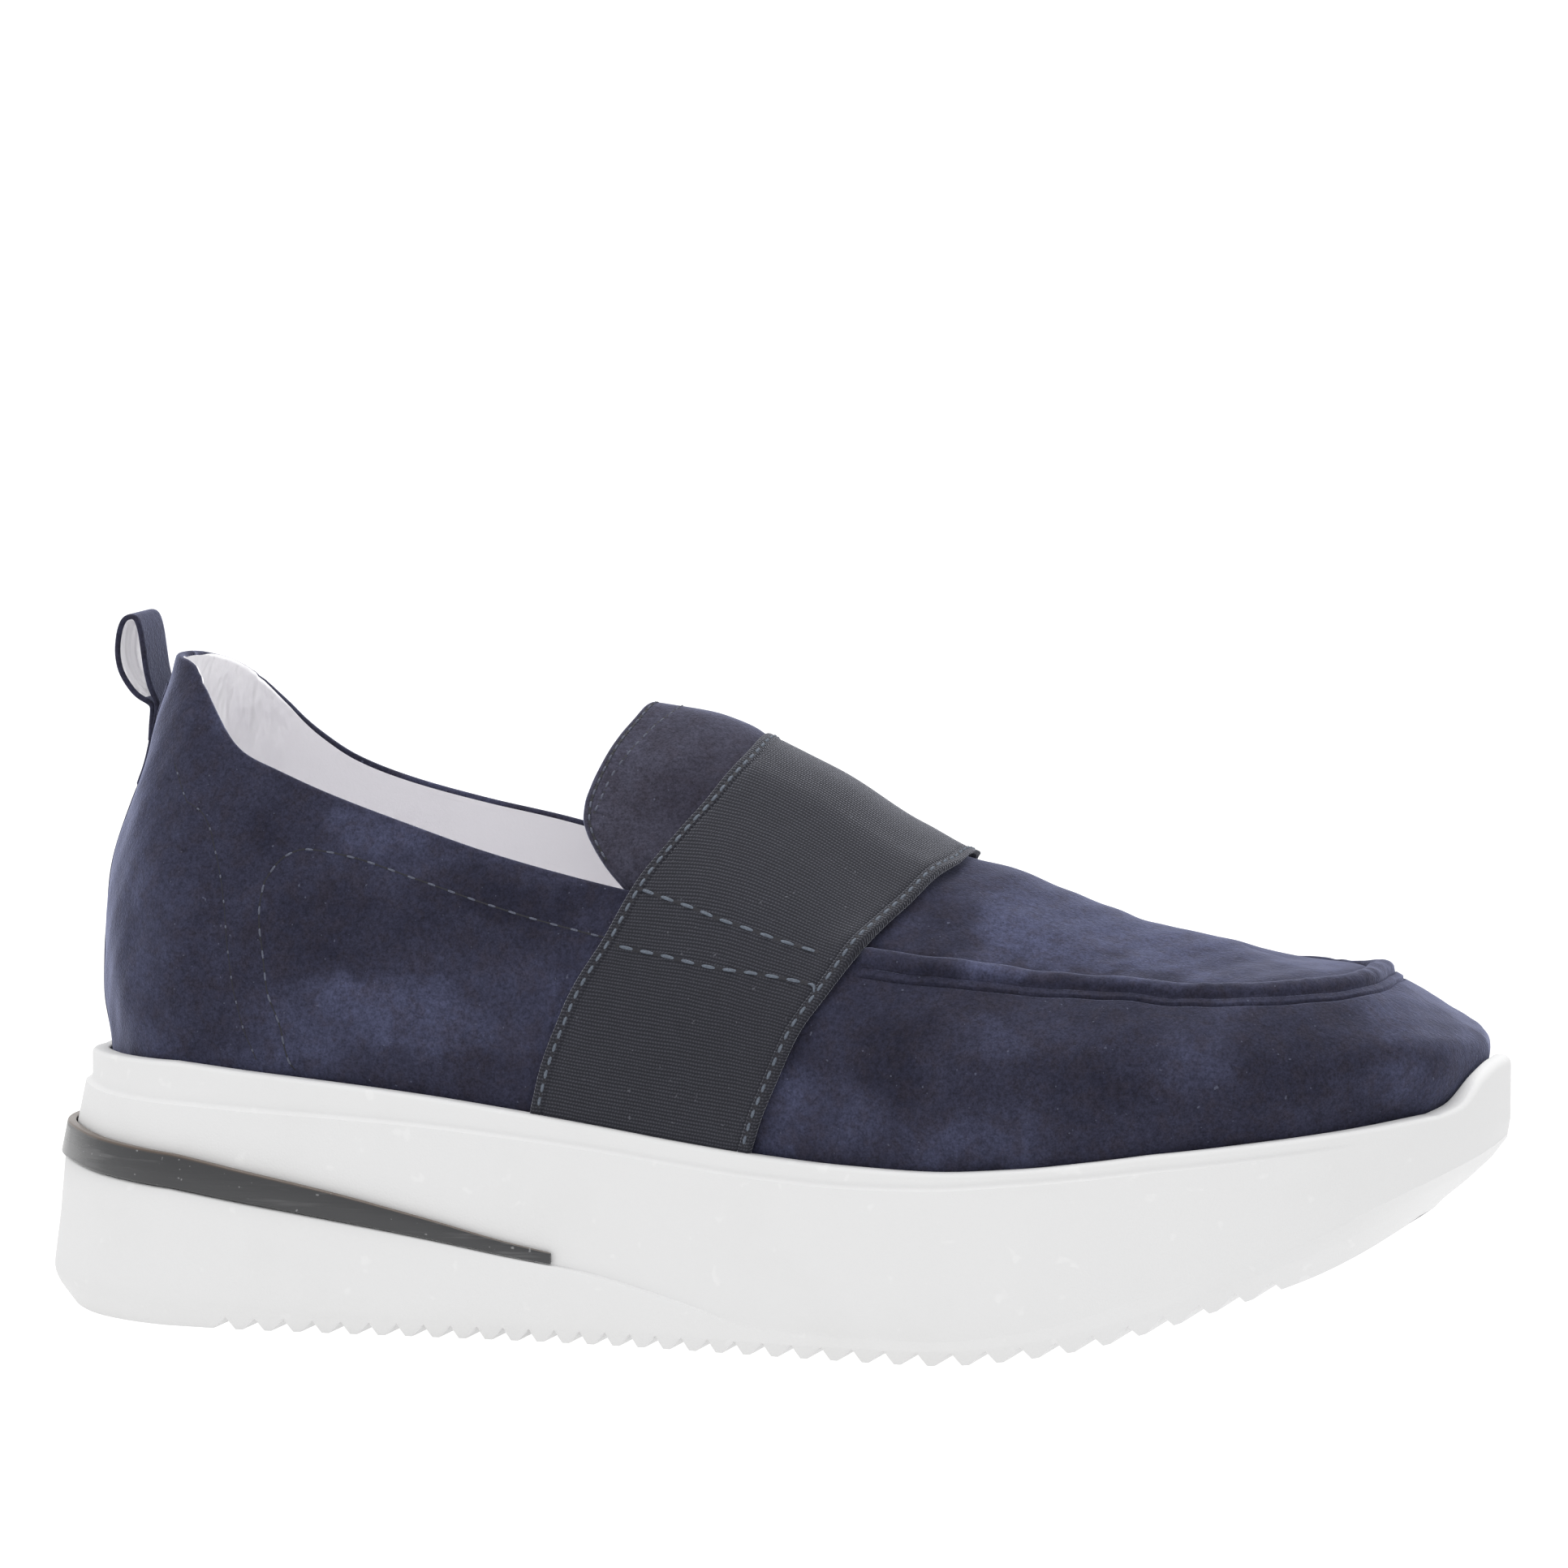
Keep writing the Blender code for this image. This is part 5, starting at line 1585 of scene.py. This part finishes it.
@dataclass
class Tongue(Piece):
    """Suede tongue that stands up behind the strap, with two rows of stitches."""

    thick: float = 1.8
    tuck: float = 2.0
    pillow: float = 2.0
    puff: float = 0.25
    half_width: float = 36.0
    stitch_in: float = 0.0062
    stitch_sink: float = 0.06
    low_share: float = 0.575
    front_share: float = 0.600

    def grid_at(self, lines: Array, rows: Array) -> tuple[Array, Array, Array]:
        """Ring coordinates, shares and tuck of the tongue's grid.

        Args:
            lines: 0 at the lateral edge, 1 at the crown, 2 at the medial edge.
            rows: 0 at the free edge, 1 at the front.

        Returns:
            Ring coordinates, shares of the height line, rises of the outer face.
        """
        v, u = np.meshgrid(lines, rows, indexing="ij")
        way = np.where(v <= 1, v, 2 - v)
        t = self.low_share + way * (1 - self.low_share)
        rear = along_to_place(curve_of(TONGUE_EDGE)(t))
        front = np.full_like(rear, self.front_share)
        place = rear + u * (front - rear)
        return over_crown(v, place), t, self.lie(place, t)

    def lie(self, place: Array, t: Array) -> Array:
        """Height of the tongue's outer face over the upper's, with the tab's pillow."""
        tucked = -0.10 - self.tuck * (1 - ease(0.58, 0.68, t))
        puffed = 0.2 + 0.8 * ease(0.43, 0.505, place) * (1 - ease(0.53, 0.58, place))
        return tucked + self.pillow * ease(0.72, 0.98, t) * puffed

    def build(self) -> None:
        """Builds the tongue and its stitches."""
        lines = np.concatenate([np.linspace(0, 0.06, 8, endpoint=False), np.linspace(0.06, 1, 64)])
        lines = np.concatenate([lines, 2 - lines[-2::-1]])
        rows = np.concatenate([np.linspace(0, 0.05, 9, endpoint=False), np.linspace(0.05, 1, 34)])
        ring, t, rise = self.grid_at(lines, rows)
        base = self.last.skin(ring, t)
        from_free = np.linalg.norm(base - base[:, :1], axis=-1)
        from_side = np.minimum(lines, 2 - lines)[:, None] * np.ones_like(t) * self.half_width
        half = 0.5 * self.thick * edge_round(np.minimum(from_free, from_side), 1.0)
        seat = 0.22 * bell(from_free, 1.1, 0.35)
        middle = rise - 0.5 * self.thick
        puff = self.puff * ripple(base, TAB_WAVES)
        outer = self.last.skin(ring, t, middle + half - seat * (half > 0.3) + puff)
        inner = self.last.skin(ring, t, middle - half + puff)
        patches = Patches()
        patches.grid(outer)
        patches.grid(inner, flip=True, finish=1)
        set_on(patches.make("tongue_suede", [self.kit.tongue, self.kit.lining]), "tongue", "tongue")
        self.build_stitches()

    def build_stitches(self) -> None:
        """Two rows along the tab's free edge."""
        patches = Patches()
        fine = StitchRow(pitch=2.6, length=1.7, radius=0.22, lift=0.05, hole=0.30, channel=0.16)
        edge_t = np.linspace(0.66, 1.0, 120)
        edge_place = along_to_place(curve_of(TONGUE_EDGE)(edge_t)) + self.stitch_in
        inner_place, inner_t = polyline(TAB_LINE, 120)
        for place, t in ((edge_place, edge_t), (inner_place, inner_t)):
            ring = np.concatenate([ring_of(Side.LATERAL, place), ring_of(Side.MEDIAL, place[-2::-1])])
            both = np.concatenate([t, t[-2::-1]])
            puff = self.puff * ripple(self.last.skin(ring, both), TAB_WAVES)
            rise = self.lie(place_of(ring), both) + puff - self.stitch_sink
            fine.lay(patches, self.last.skin(ring, both, rise), self.last.normals(ring, both))
        set_on(patches.make("tongue_stitches", [self.kit.dark_thread, self.kit.hole]), "tongue")


@dataclass
class Strap(Piece):
    """Wide elastic band over the instep, hemmed along both edges."""

    rise: float = 0.45
    thick: float = 1.5
    hem: float = 2.3
    width: float = 44.0
    stitch_in: float = 1.55

    def __post_init__(self) -> None:
        """Reads the tables of its edges."""
        self.rear = curve_of(STRAP_REAR)
        self.front = curve_of(STRAP_FRONT)

    def at(self, v: Array, u: Array) -> tuple[Array, Array]:
        """Ring coordinates and shares at places of the band.

        Args:
            v: 0 at the lateral foot, 1 at the crown, 2 at the medial foot.
            u: 0 at the rear edge, 1 at the front edge.

        Returns:
            Ring coordinates and shares of the height line.
        """
        way = np.where(v <= 1, v, 2 - v)
        rear = along_to_place(self.rear(way))
        front = along_to_place(self.front(way))
        place = rear + u * (front - rear)
        ring = over_crown(v, place)
        cut = self.last.cut(ring)
        start = cut.share_at(cut.rim + 0.15).reshape(v.shape)
        return ring, start + way * (1 - start)

    def top_rise(self, u: Array, t: Array, ring: Array) -> Array:
        """Height of the band's outer face, with its hems and the ridge that lifts it."""
        edge = np.minimum(u, 1 - u) * self.width
        hem = 0.16 * (1 - ease(self.hem - 0.25, self.hem + 0.15, edge))
        hem = hem - 0.20 * bell(edge, self.hem + 0.2, 0.22)
        seat = -0.16 * bell(edge, self.stitch_in, 0.32)
        over = 1.2 * bell(t - self.last.seam(place_of(ring)), 0.03, 0.055) * ease(0.80, 1.0, u)
        crown = 0.9 * bell(u, 0.38, 0.26) * ease(0.80, 0.97, t)
        crown = crown - 0.9 * ease(0.74, 1.0, u) * ease(0.86, 0.97, t)
        return self.rise + self.thick + hem + seat + over + crown

    def build(self) -> None:
        """Builds the band and its stitches."""
        near = np.array(HEM_ROWS) / self.width
        rows = np.concatenate([near, np.linspace(near[-1], 1 - near[-1], 34)[1:-1], (1 - near)[::-1]])
        lines = np.linspace(0, 2, 221)
        v, u = np.meshgrid(lines, rows, indexing="ij")
        ring, t = self.at(v.ravel(), u.ravel())
        ring = ring.reshape(v.shape)
        t = t.reshape(v.shape)
        top = self.top_rise(u, t, ring)
        edge = np.minimum(u, 1 - u) * self.width
        share = edge_round(edge, 0.55)
        middle = self.rise + 0.5 * self.thick
        outer = self.last.skin(ring, t, middle + (top - middle) * share)
        inner = self.last.skin(ring, t, middle - 0.5 * self.thick * share)
        length = lengths_along(outer[:, len(rows) // 2]) * MM
        weave = np.stack([u * self.width * MM, np.broadcast_to(length[:, None], u.shape)], axis=-1)
        patches = Patches()
        patches.grid(outer, weave=weave)
        patches.grid(inner, flip=True, weave=weave)
        set_on(patches.make("strap_elastic", [self.kit.elastic]), "strap", "strap")
        self.build_stitches()

    def lay(self, patches: Patches, row: StitchRow, v: Array, u: Array) -> None:
        """Lays one row of stitches on the band's outer face."""
        ring, t = self.at(v, u)
        rise = self.top_rise(u, t, ring)
        row.lay(patches, self.last.skin(ring, t, rise), self.last.normals(ring, t))

    def build_stitches(self) -> None:
        """Stitches along both hems and in two rows across each side."""
        patches = Patches()
        hem_row = StitchRow(pitch=2.6, length=2.15, radius=0.30, lift=0.08, hole=0.36)
        cross_row = StitchRow(pitch=4.1, length=3.3, radius=0.32, lift=0.10, hole=0.44)
        v = np.linspace(0.02, 1.98, 500)
        for u in (self.stitch_in / self.width, 1 - self.stitch_in / self.width):
            self.lay(patches, hem_row, v, np.full_like(v, u))
        for table in (CROSS_UPPER, CROSS_LOWER):
            place, way = polyline(table, 120)
            rear = along_to_place(self.rear(way))
            front = along_to_place(self.front(way))
            u = (place - rear) / (front - rear)
            self.lay(patches, cross_row, way, u)
            self.lay(patches, cross_row, 2 - way, u)
        set_on(patches.make("strap_stitches", [self.kit.blue_thread, self.kit.hole]), "strap")


def quarter_turn(steps: int) -> list[tuple[float, float]]:
    """Shares of a radius that are left beside and above a rounded corner, step by step."""
    return [(1 - math.sin(a), 1 - math.cos(a)) for a in np.linspace(0, 0.5 * math.pi, steps)]


def between(first: Row, second: Row, share: Any) -> Row:
    """Row at a share of the way from one row to another."""
    return first[0] + share * (second[0] - first[0]), first[1] + share * (second[1] - first[1])


@dataclass
class Sole(Piece):
    """One-piece white platform with its rim, groove, ledge, bumper and tread."""

    rim_round: float = 0.9
    cup_round: float = 0.45
    groove_depth: float = 0.35
    groove_half: float = 0.7
    under_steps: int = 13

    def tread_tips(self) -> Array:
        """Distances from the heel's back of the tread's tips, in millimetres."""
        start, end = TREAD_START * LENGTH, TREAD_END * LENGTH
        pitch = curve_of(TREAD_PITCH)
        tips = [start]
        for _ in range(TREAD_COUNT):
            tips.append(tips[-1] + float(pitch(tips[-1] / LENGTH)))
        scale = (end - start) / (tips[-1] - start)
        return np.array([start + (s - start) * scale for s in tips])

    def ground(self, s: Array) -> Array:
        """Height of the plain underside at s millimetres from the heel's back."""
        return self.last.ground(s / LENGTH) * PLATFORM

    def breaks(self) -> tuple[Array, Array]:
        """Corners of the tread's outline.

        Returns:
            Distances from the heel's back, and the underside's heights there.
        """
        tips = self.tread_tips()
        places: list[float] = []
        heights: list[float] = []
        for first_tip, second_tip in zip(tips[:-1], tips[1:]):
            first = first_tip + 0.5 * TREAD_LAND
            second = second_tip - 0.5 * TREAD_LAND
            root = first + NOTCH_LEAN * (second - first)
            places += [first_tip - 0.5 * TREAD_LAND if not places else first_tip, first, root, second]
            low = [float(self.ground(np.array(s))) for s in places[-4:]]
            low[2] += TREAD_DEPTH
            heights += low
        return np.array(places), np.array(heights)

    def edge_reach(self, cut: Cut) -> Array:
        """Distance from the middle of the underside's edge."""
        return cut.rim_reach + self.last.flares["edge"](cut.place)

    def ring_at(self, side: Side, s: Array) -> Array:
        """Ring coordinates whose lower edge is at distances s from the heel's back."""
        place = along_to_place(s / LENGTH)
        low = np.ones_like(s)
        high = np.full_like(s, 2.0)
        for _ in range(30):
            middle = 0.5 * (low + high)
            cut = self.last.cut(ring_of(side, middle))
            short = cut.origin[:, 0] + self.edge_reach(cut) * cut.facing[:, 0] < s
            low = np.where(short, middle, low)
            high = np.where(short, high, middle)
        return ring_of(side, np.where(s <= TOE_TURN * LENGTH, place, low))

    def stations(self) -> tuple[Array, Array, Array]:
        """Lines of the sole, paired across it.

        Returns:
            Lateral and medial ring coordinates and the underside's height, which is
            below zero where it follows the plain ground.
        """
        heel = np.linspace(0, 1, 56, endpoint=False)
        corner_s, corner_z = self.breaks()
        plain = np.linspace(HEEL_TURN * LENGTH, corner_s[0], 12, endpoint=False)
        fine_s: list[float] = []
        for first, second in zip(corner_s[:-1], corner_s[1:]):
            fine_s += [first, 0.5 * (first + second)]
        fine_s.append(corner_s[-1])
        tread_s = np.array(fine_s)
        tread_z = np.interp(tread_s, corner_s, corner_z)
        straight = np.concatenate([plain, tread_s])
        lateral = self.ring_at(Side.LATERAL, straight)
        medial = self.ring_at(Side.MEDIAL, straight)
        toe_lateral = np.linspace(lateral[-1], 3.0, 44)[1:]
        toe_medial = np.linspace(medial[-1], 3.0, 44)[1:]
        free = np.full(len(toe_lateral), -1.0)
        heights = np.concatenate([np.full(len(heel) + len(plain), -1.0), tread_z, free])
        return (np.concatenate([heel, lateral, toe_lateral]),
                np.concatenate([6 - heel, medial, toe_medial]), heights)

    def wall(self, ring: Array, under: Array) -> Array:
        """Rows of the wall from the cup's floor over the rim down to the underside.

        Args:
            ring: Ring coordinates of the lines.
            under: Underside's height on each line, below zero for the plain ground.

        Returns:
            Lines by rows of points, in millimetres.
        """
        cut = self.last.cut(ring)
        place = cut.place
        flare = {name: curve(place) for name, curve in self.last.flares.items()}
        floor = (cut.foot_reach + FIT_GAP, cut.base_rim - RIM_DEPTH)
        cup = cut.reach_at(cut.share_at(cut.rim)) + FIT_GAP - 0.8 * self.last.heel_tuck(place)
        rows = [floor, between(floor, (cup, cut.rim), 0.5)]
        rows += [(cup + self.cup_round * out, cut.rim - self.cup_round * fall)
                 for fall, out in quarter_turn(5)]

        # From the rim down, reaches count from the rim's own
        corner = self.rim_round * (1 + self.last.bumper(place))
        outer = [(-corner * back, cut.rim - corner * fall) for back, fall in quarter_turn(8)]
        groove_top = (np.zeros_like(corner), cut.groove + self.groove_half)
        outer += [between(outer[-1], groove_top, share) for share in (0.35, 0.7)]
        depth = self.groove_depth * self.last.groove_fade(place)
        outer += [(flare["below"] * (0.5 - 0.5 * at) - depth * deep, cut.groove + at * self.groove_half)
                  for at, deep in GROOVE_SHAPE]
        inner_ledge = (flare["ledge_in"], cut.ledge)
        outer += [between((flare["below"], cut.groove - self.groove_half), inner_ledge, share)
                  for share in (0.3, 0.6, 0.9, 0.985, 1.0)]
        out = np.maximum(flare["ledge_out"], flare["ledge_in"] + 0.02)
        step_z = cut.ledge - 0.02 - 0.25 * ease(0.39, 0.45, place)
        lip = np.minimum(0.5, 0.4 * (out - flare["ledge_in"]))
        outer += [(out - lip * back, step_z - lip * fall) for back, fall in quarter_turn(5)]

        edge_z = self.ground(cut.origin[:, 0] + self.edge_reach(cut) * cut.facing[:, 0])
        edge = (flare["edge"], edge_z)
        low = (flare["low"], edge_z + flare["low_rise"])
        middle = (0.6 * out + 0.4 * low[0], 0.5 * (cut.ledge + low[1]))
        outer += [between((out, step_z - lip), middle, share) for share in (0.33, 0.66, 1.0)]
        outer += [between(middle, low, share) for share in (0.35, 0.65)]
        start = between(middle, low, 0.82)
        end = between(low, edge, 0.45)
        cut_z = np.where(under < 0, edge_z, under)
        for share in np.linspace(0, 1, 6):
            reach, z = between(between(start, low, share), between(low, end, share), share)
            outer.append((reach, np.maximum(z, cut_z + 0.01 * (1 - share))))
        share = np.clip((cut_z - edge_z) / (low[1] - edge_z), 0.0, 0.55)
        outer.append((edge[0] + share * (low[0] - edge[0]), cut_z))
        rows += [(cut.rim_reach + reach, z) for reach, z in outer]
        return np.stack([cut.spot(reach, z) for reach, z in rows], axis=1)

    def build(self) -> None:
        """Builds the platform."""
        lateral, medial, under = self.stations()
        near = self.wall(lateral, under)
        far = self.wall(medial, under)
        patches = Patches()
        patches.grid(near, flip=True)
        patches.grid(far)
        share = np.linspace(0, 1, self.under_steps)[None, :, None]
        bottom = near[:, -1:, :] * (1 - share) + far[:, -1:, :] * share
        plain = under < 0
        bottom[plain, :, 2] = self.ground(bottom[plain, :, 0] - AHEAD)
        bottom[:, 0] = near[:, -1]
        bottom[:, -1] = far[:, -1]
        patches.grid(bottom, flip=True)
        floor = near[:, :1, :] * (1 - share) + far[:, :1, :] * share
        patches.grid(floor)
        piece = patches.make("platform_sole", [self.kit.foam], sharp=32.0)
        set_on(piece, "sole_unit", "sole_unit")


@dataclass
class HeelBand(Piece):
    """Glossy strip round the heel that stands on the sole's ledge."""

    gap: float = 0.25
    tip: float = 0.392
    round: float = 0.30

    def build(self) -> None:
        """Builds the band."""
        half = np.linspace(0.0, 1 + self.tip, 120)
        ring = np.concatenate([half[::-1], 6 - half[1:]])
        cut = self.last.cut(ring)
        flare = {name: curve(cut.place) for name, curve in self.last.flares.items()}
        foot_in = flare["ledge_in"]
        thick = curve_of(BAND_OUT)(cut.place) - foot_in - self.gap
        rise = cut.groove - 0.6 - cut.ledge
        bottom = cut.ledge + self.gap
        top = bottom + curve_of(BAND_TALL)(cut.place)
        lean = (flare["below"] - foot_in) / rise
        inner_low = cut.rim_reach + foot_in + self.gap
        r = self.round
        section: list[tuple[float, float, float, float]] = []
        for corner_x, corner_z, start in ((1, 0, -90), (1, 1, 0), (0, 1, 90), (0, 0, 180)):
            for angle in np.linspace(start, start + 90, 5):
                a = math.radians(angle)
                section.append((corner_x, corner_z, math.cos(a), math.sin(a)))
        loops = []
        tall = []
        for corner_x, corner_z, c, s in section:
            height = bottom + corner_z * (top - bottom) + r * (s - (2 * corner_z - 1))
            reach = inner_low + lean * (height - bottom) + corner_x * thick + r * (c - (2 * corner_x - 1))
            loops.append(cut.spot(reach, height))
            tall.append((height - bottom) / (top - bottom))
        patches = Patches()
        high = np.stack(tall + tall[:1], axis=1)
        patches.tube(np.stack(loops, axis=1), np.stack([np.zeros_like(high), high], axis=-1))
        set_on(patches.make("heel_band_gloss", [self.kit.gloss], sharp=60.0), "heel_band", "heel_band")


@dataclass
class PullLoop(Piece):
    """Doubled strip of tape behind the heel's top, suede outside and pale inside."""

    width: float = 13.2
    thick: float = 1.0
    passes: int = 8
    edge: float = 0.7
    split: float = 0.925
    steps: int = 150

    def path(self) -> Array:
        """Middle line of the strip as distances ahead of the heel's back and heights."""
        back = self.last.cut(np.zeros(len(LOOP_STEM)))
        stem = np.array(LOOP_STEM)
        t = back.share_at(stem[:, 0] * TOP_LINE)
        near = self.last.skin(np.zeros_like(t), t, stem[:, 1] + 0.5 * self.thick)
        far = self.last.skin(np.zeros_like(t), t, stem[:, 1] + 0.5 * self.thick + stem[:, 2])
        front = [(p[0] - AHEAD, p[2]) for p in near]
        rear = [(p[0] - AHEAD, p[2]) for p, apart in zip(far, stem[:, 2]) if apart > 0]
        free = [(a * TOP_LINE, b * TOP_LINE) for a, b in LOOP_FREE]
        points = np.array(front + free + rear[::-1])
        line = np.stack(polyline(points, self.steps), axis=-1)
        for _ in range(self.passes):
            line[1:-1] = 0.25 * line[:-2] + 0.5 * line[1:-1] + 0.25 * line[2:]
        return line

    def build(self) -> None:
        """Builds the loop."""
        line = self.path()
        run = unit(np.gradient(line, axis=0))
        out = np.stack([run[:, 1], -run[:, 0]], axis=-1)
        across = 0.5 * self.width * np.sin(np.linspace(-0.5, 0.5, 21) * math.pi)
        distance = np.minimum(np.arange(len(line)), np.arange(len(line))[::-1]) * 0.5
        ends = edge_round(distance + 0.05, 0.6)[:, None]
        share = edge_round(0.5 * self.width - np.abs(across), 0.5)[None, :] * ends
        faces = []
        for sign in (1, -1):
            s = line[:, None, 0] + sign * 0.5 * self.thick * share * out[:, None, 0]
            z = line[:, None, 1] + sign * 0.5 * self.thick * share * out[:, None, 1]
            y = np.broadcast_to(across[None, :] + ASIDE, s.shape)
            faces.append(np.stack([s + AHEAD, y, z], axis=-1))
        patches = Patches()
        inside = 0.5 * np.abs(across[:-1] + across[1:]) < 0.5 * self.width - self.edge
        open_rows = line[1:, 1] > self.split * TOP_LINE
        pale = np.logical_and(open_rows[:, None], inside[None, :]).astype(int)
        patches.grid(faces[0])
        patches.grid(faces[1], flip=True, finish=pale)
        piece = patches.make("pull_loop_tape", [self.kit.suede, self.kit.lining])
        set_on(piece, "pull_loop", "pull_loop")


@dataclass
class Footbed(Piece):
    """Pale footbed inside the shoe."""

    def build(self) -> None:
        """Builds the footbed."""
        cut = self.last.cut(np.linspace(0, 6, 300, endpoint=False))
        along = np.clip(cut.origin[:, 0] / LENGTH, 0, 1)
        middle = self.last.flat["rim"](along) * PLATFORM - RIM_DEPTH + SEAT_GAP
        low = cut.base_rim - RIM_DEPTH + SEAT_GAP
        edge = cut.foot_reach - WALL - FIT_GAP
        shares = np.concatenate([np.linspace(0, 0.9, 18, endpoint=False), np.linspace(0.9, 1.0, 8)])
        rows = []
        for share in shares:
            height = middle + (low - middle) * np.interp(share, (0.0, 0.55, 1.0), (0.0, 0.5, 1.0))
            lift = 0.5 * float(ease(0.86, 0.97, np.array(share)))
            turn = 0.8 * (1 - float(edge_round(np.array((1 - share) * 42.0), 0.8)))
            rows.append(cut.spot(share * edge, height + INSOLE_THICK + lift - turn))
        rows.append(cut.spot(edge, low))
        patches = Patches()
        patches.grid(np.stack(rows, axis=1), closed=True, flip=True)
        set_on(patches.make("footbed", [self.kit.footbed]), "insole", "insole")


@dataclass
class Studio:
    """Floor, light and camera."""

    azimuth: float = 15.0
    elevation: float = 5.5
    distance: float = 2.0
    scale: float = 6.80
    picture: float = 1932.0
    centre: tuple[float, float, float] = (-0.0004, 0.00227, 0.062)
    centre_at: tuple[float, float] = (947.0, 1206.0)
    sensor: float = 36.0
    floor_size: float = 24.0
    sky: float = 0.93
    lit: tuple[float, float, float] = (0.0, 0.0, 0.06)

    def build_camera(self) -> None:
        """Camera at the photograph's angle and framing."""
        a = math.radians(self.azimuth)
        e = math.radians(self.elevation)
        back = Vector((math.sin(a) * math.cos(e), -math.cos(a) * math.cos(e), math.sin(e)))
        right = Vector((math.cos(a), math.sin(a), 0.0))
        up = back.cross(right)
        half = 0.5 * self.picture
        aside = (half - self.centre_at[0]) / self.scale * MM
        above = (self.centre_at[1] - half) / self.scale * MM
        aim = Vector(self.centre) + aside * right + above * up
        lens = bpy.data.cameras.new("camera")
        lens.sensor_width = self.sensor
        lens.lens = self.sensor * self.distance / MM * self.scale / self.picture
        lens.clip_start = 0.05
        lens.clip_end = 60.0
        camera = bpy.data.objects.new("camera", lens)
        turn = Matrix((right, up, back)).transposed().to_4x4()
        camera.matrix_world = Matrix.Translation(aim + self.distance * back) @ turn
        bpy.context.scene.collection.objects.link(camera)
        bpy.context.scene.camera = camera

    def build_floor(self) -> None:
        """Plain pale floor."""
        bpy.ops.mesh.primitive_plane_add(size=self.floor_size)
        floor = bpy.context.active_object
        floor.name = "floor"
        floor.data.materials.append(Backdrop().material())

    def add_light(self, name: str, spot: Vector, size: float, power: float) -> None:
        """Adds one square soft light that faces the shoe.

        Args:
            name: Its name.
            spot: Where it hangs, in metres.
            size: Length of its side, in metres.
            power: Watts.
        """
        light = bpy.data.lights.new(name, "AREA")
        light.shape = "SQUARE"
        light.size = size
        light.energy = power
        holder = bpy.data.objects.new(name, light)
        holder.location = spot
        holder.rotation_mode = "QUATERNION"
        holder.rotation_quaternion = (spot - Vector(self.lit)).to_track_quat("Z", "Y")
        bpy.context.scene.collection.objects.link(holder)

    def build(self) -> None:
        """Builds the floor, the lights and the camera."""
        self.build_floor()
        world = bpy.data.worlds.new("studio")
        world.use_nodes = True
        sky = world.node_tree.nodes["Background"]
        sky.inputs["Color"].default_value = (1.0, 1.0, 1.0, 1.0)
        sky.inputs["Strength"].default_value = self.sky
        bpy.context.scene.world = world
        bpy.context.scene.view_settings.view_transform = "Standard"
        self.add_light("overhead", Vector((0.0, 0.30, 1.6)), 1.2, 15.0)
        self.add_light("collar", Vector((-0.20, -0.75, 1.5)), 0.8, 5.0)
        self.build_camera()


def main() -> None:
    """Builds and dresses the shoe, then the studio."""
    logging.basicConfig(level=logging.INFO, format="%(name)s %(message)s")
    last = Last()
    kit = Kit()
    for kind in (Sole, HeelBand, Upper, Footbed, Tongue, Strap, PullLoop):
        kind(last, kit).build()
    Studio().build()


if __name__ == "__main__":
    main()
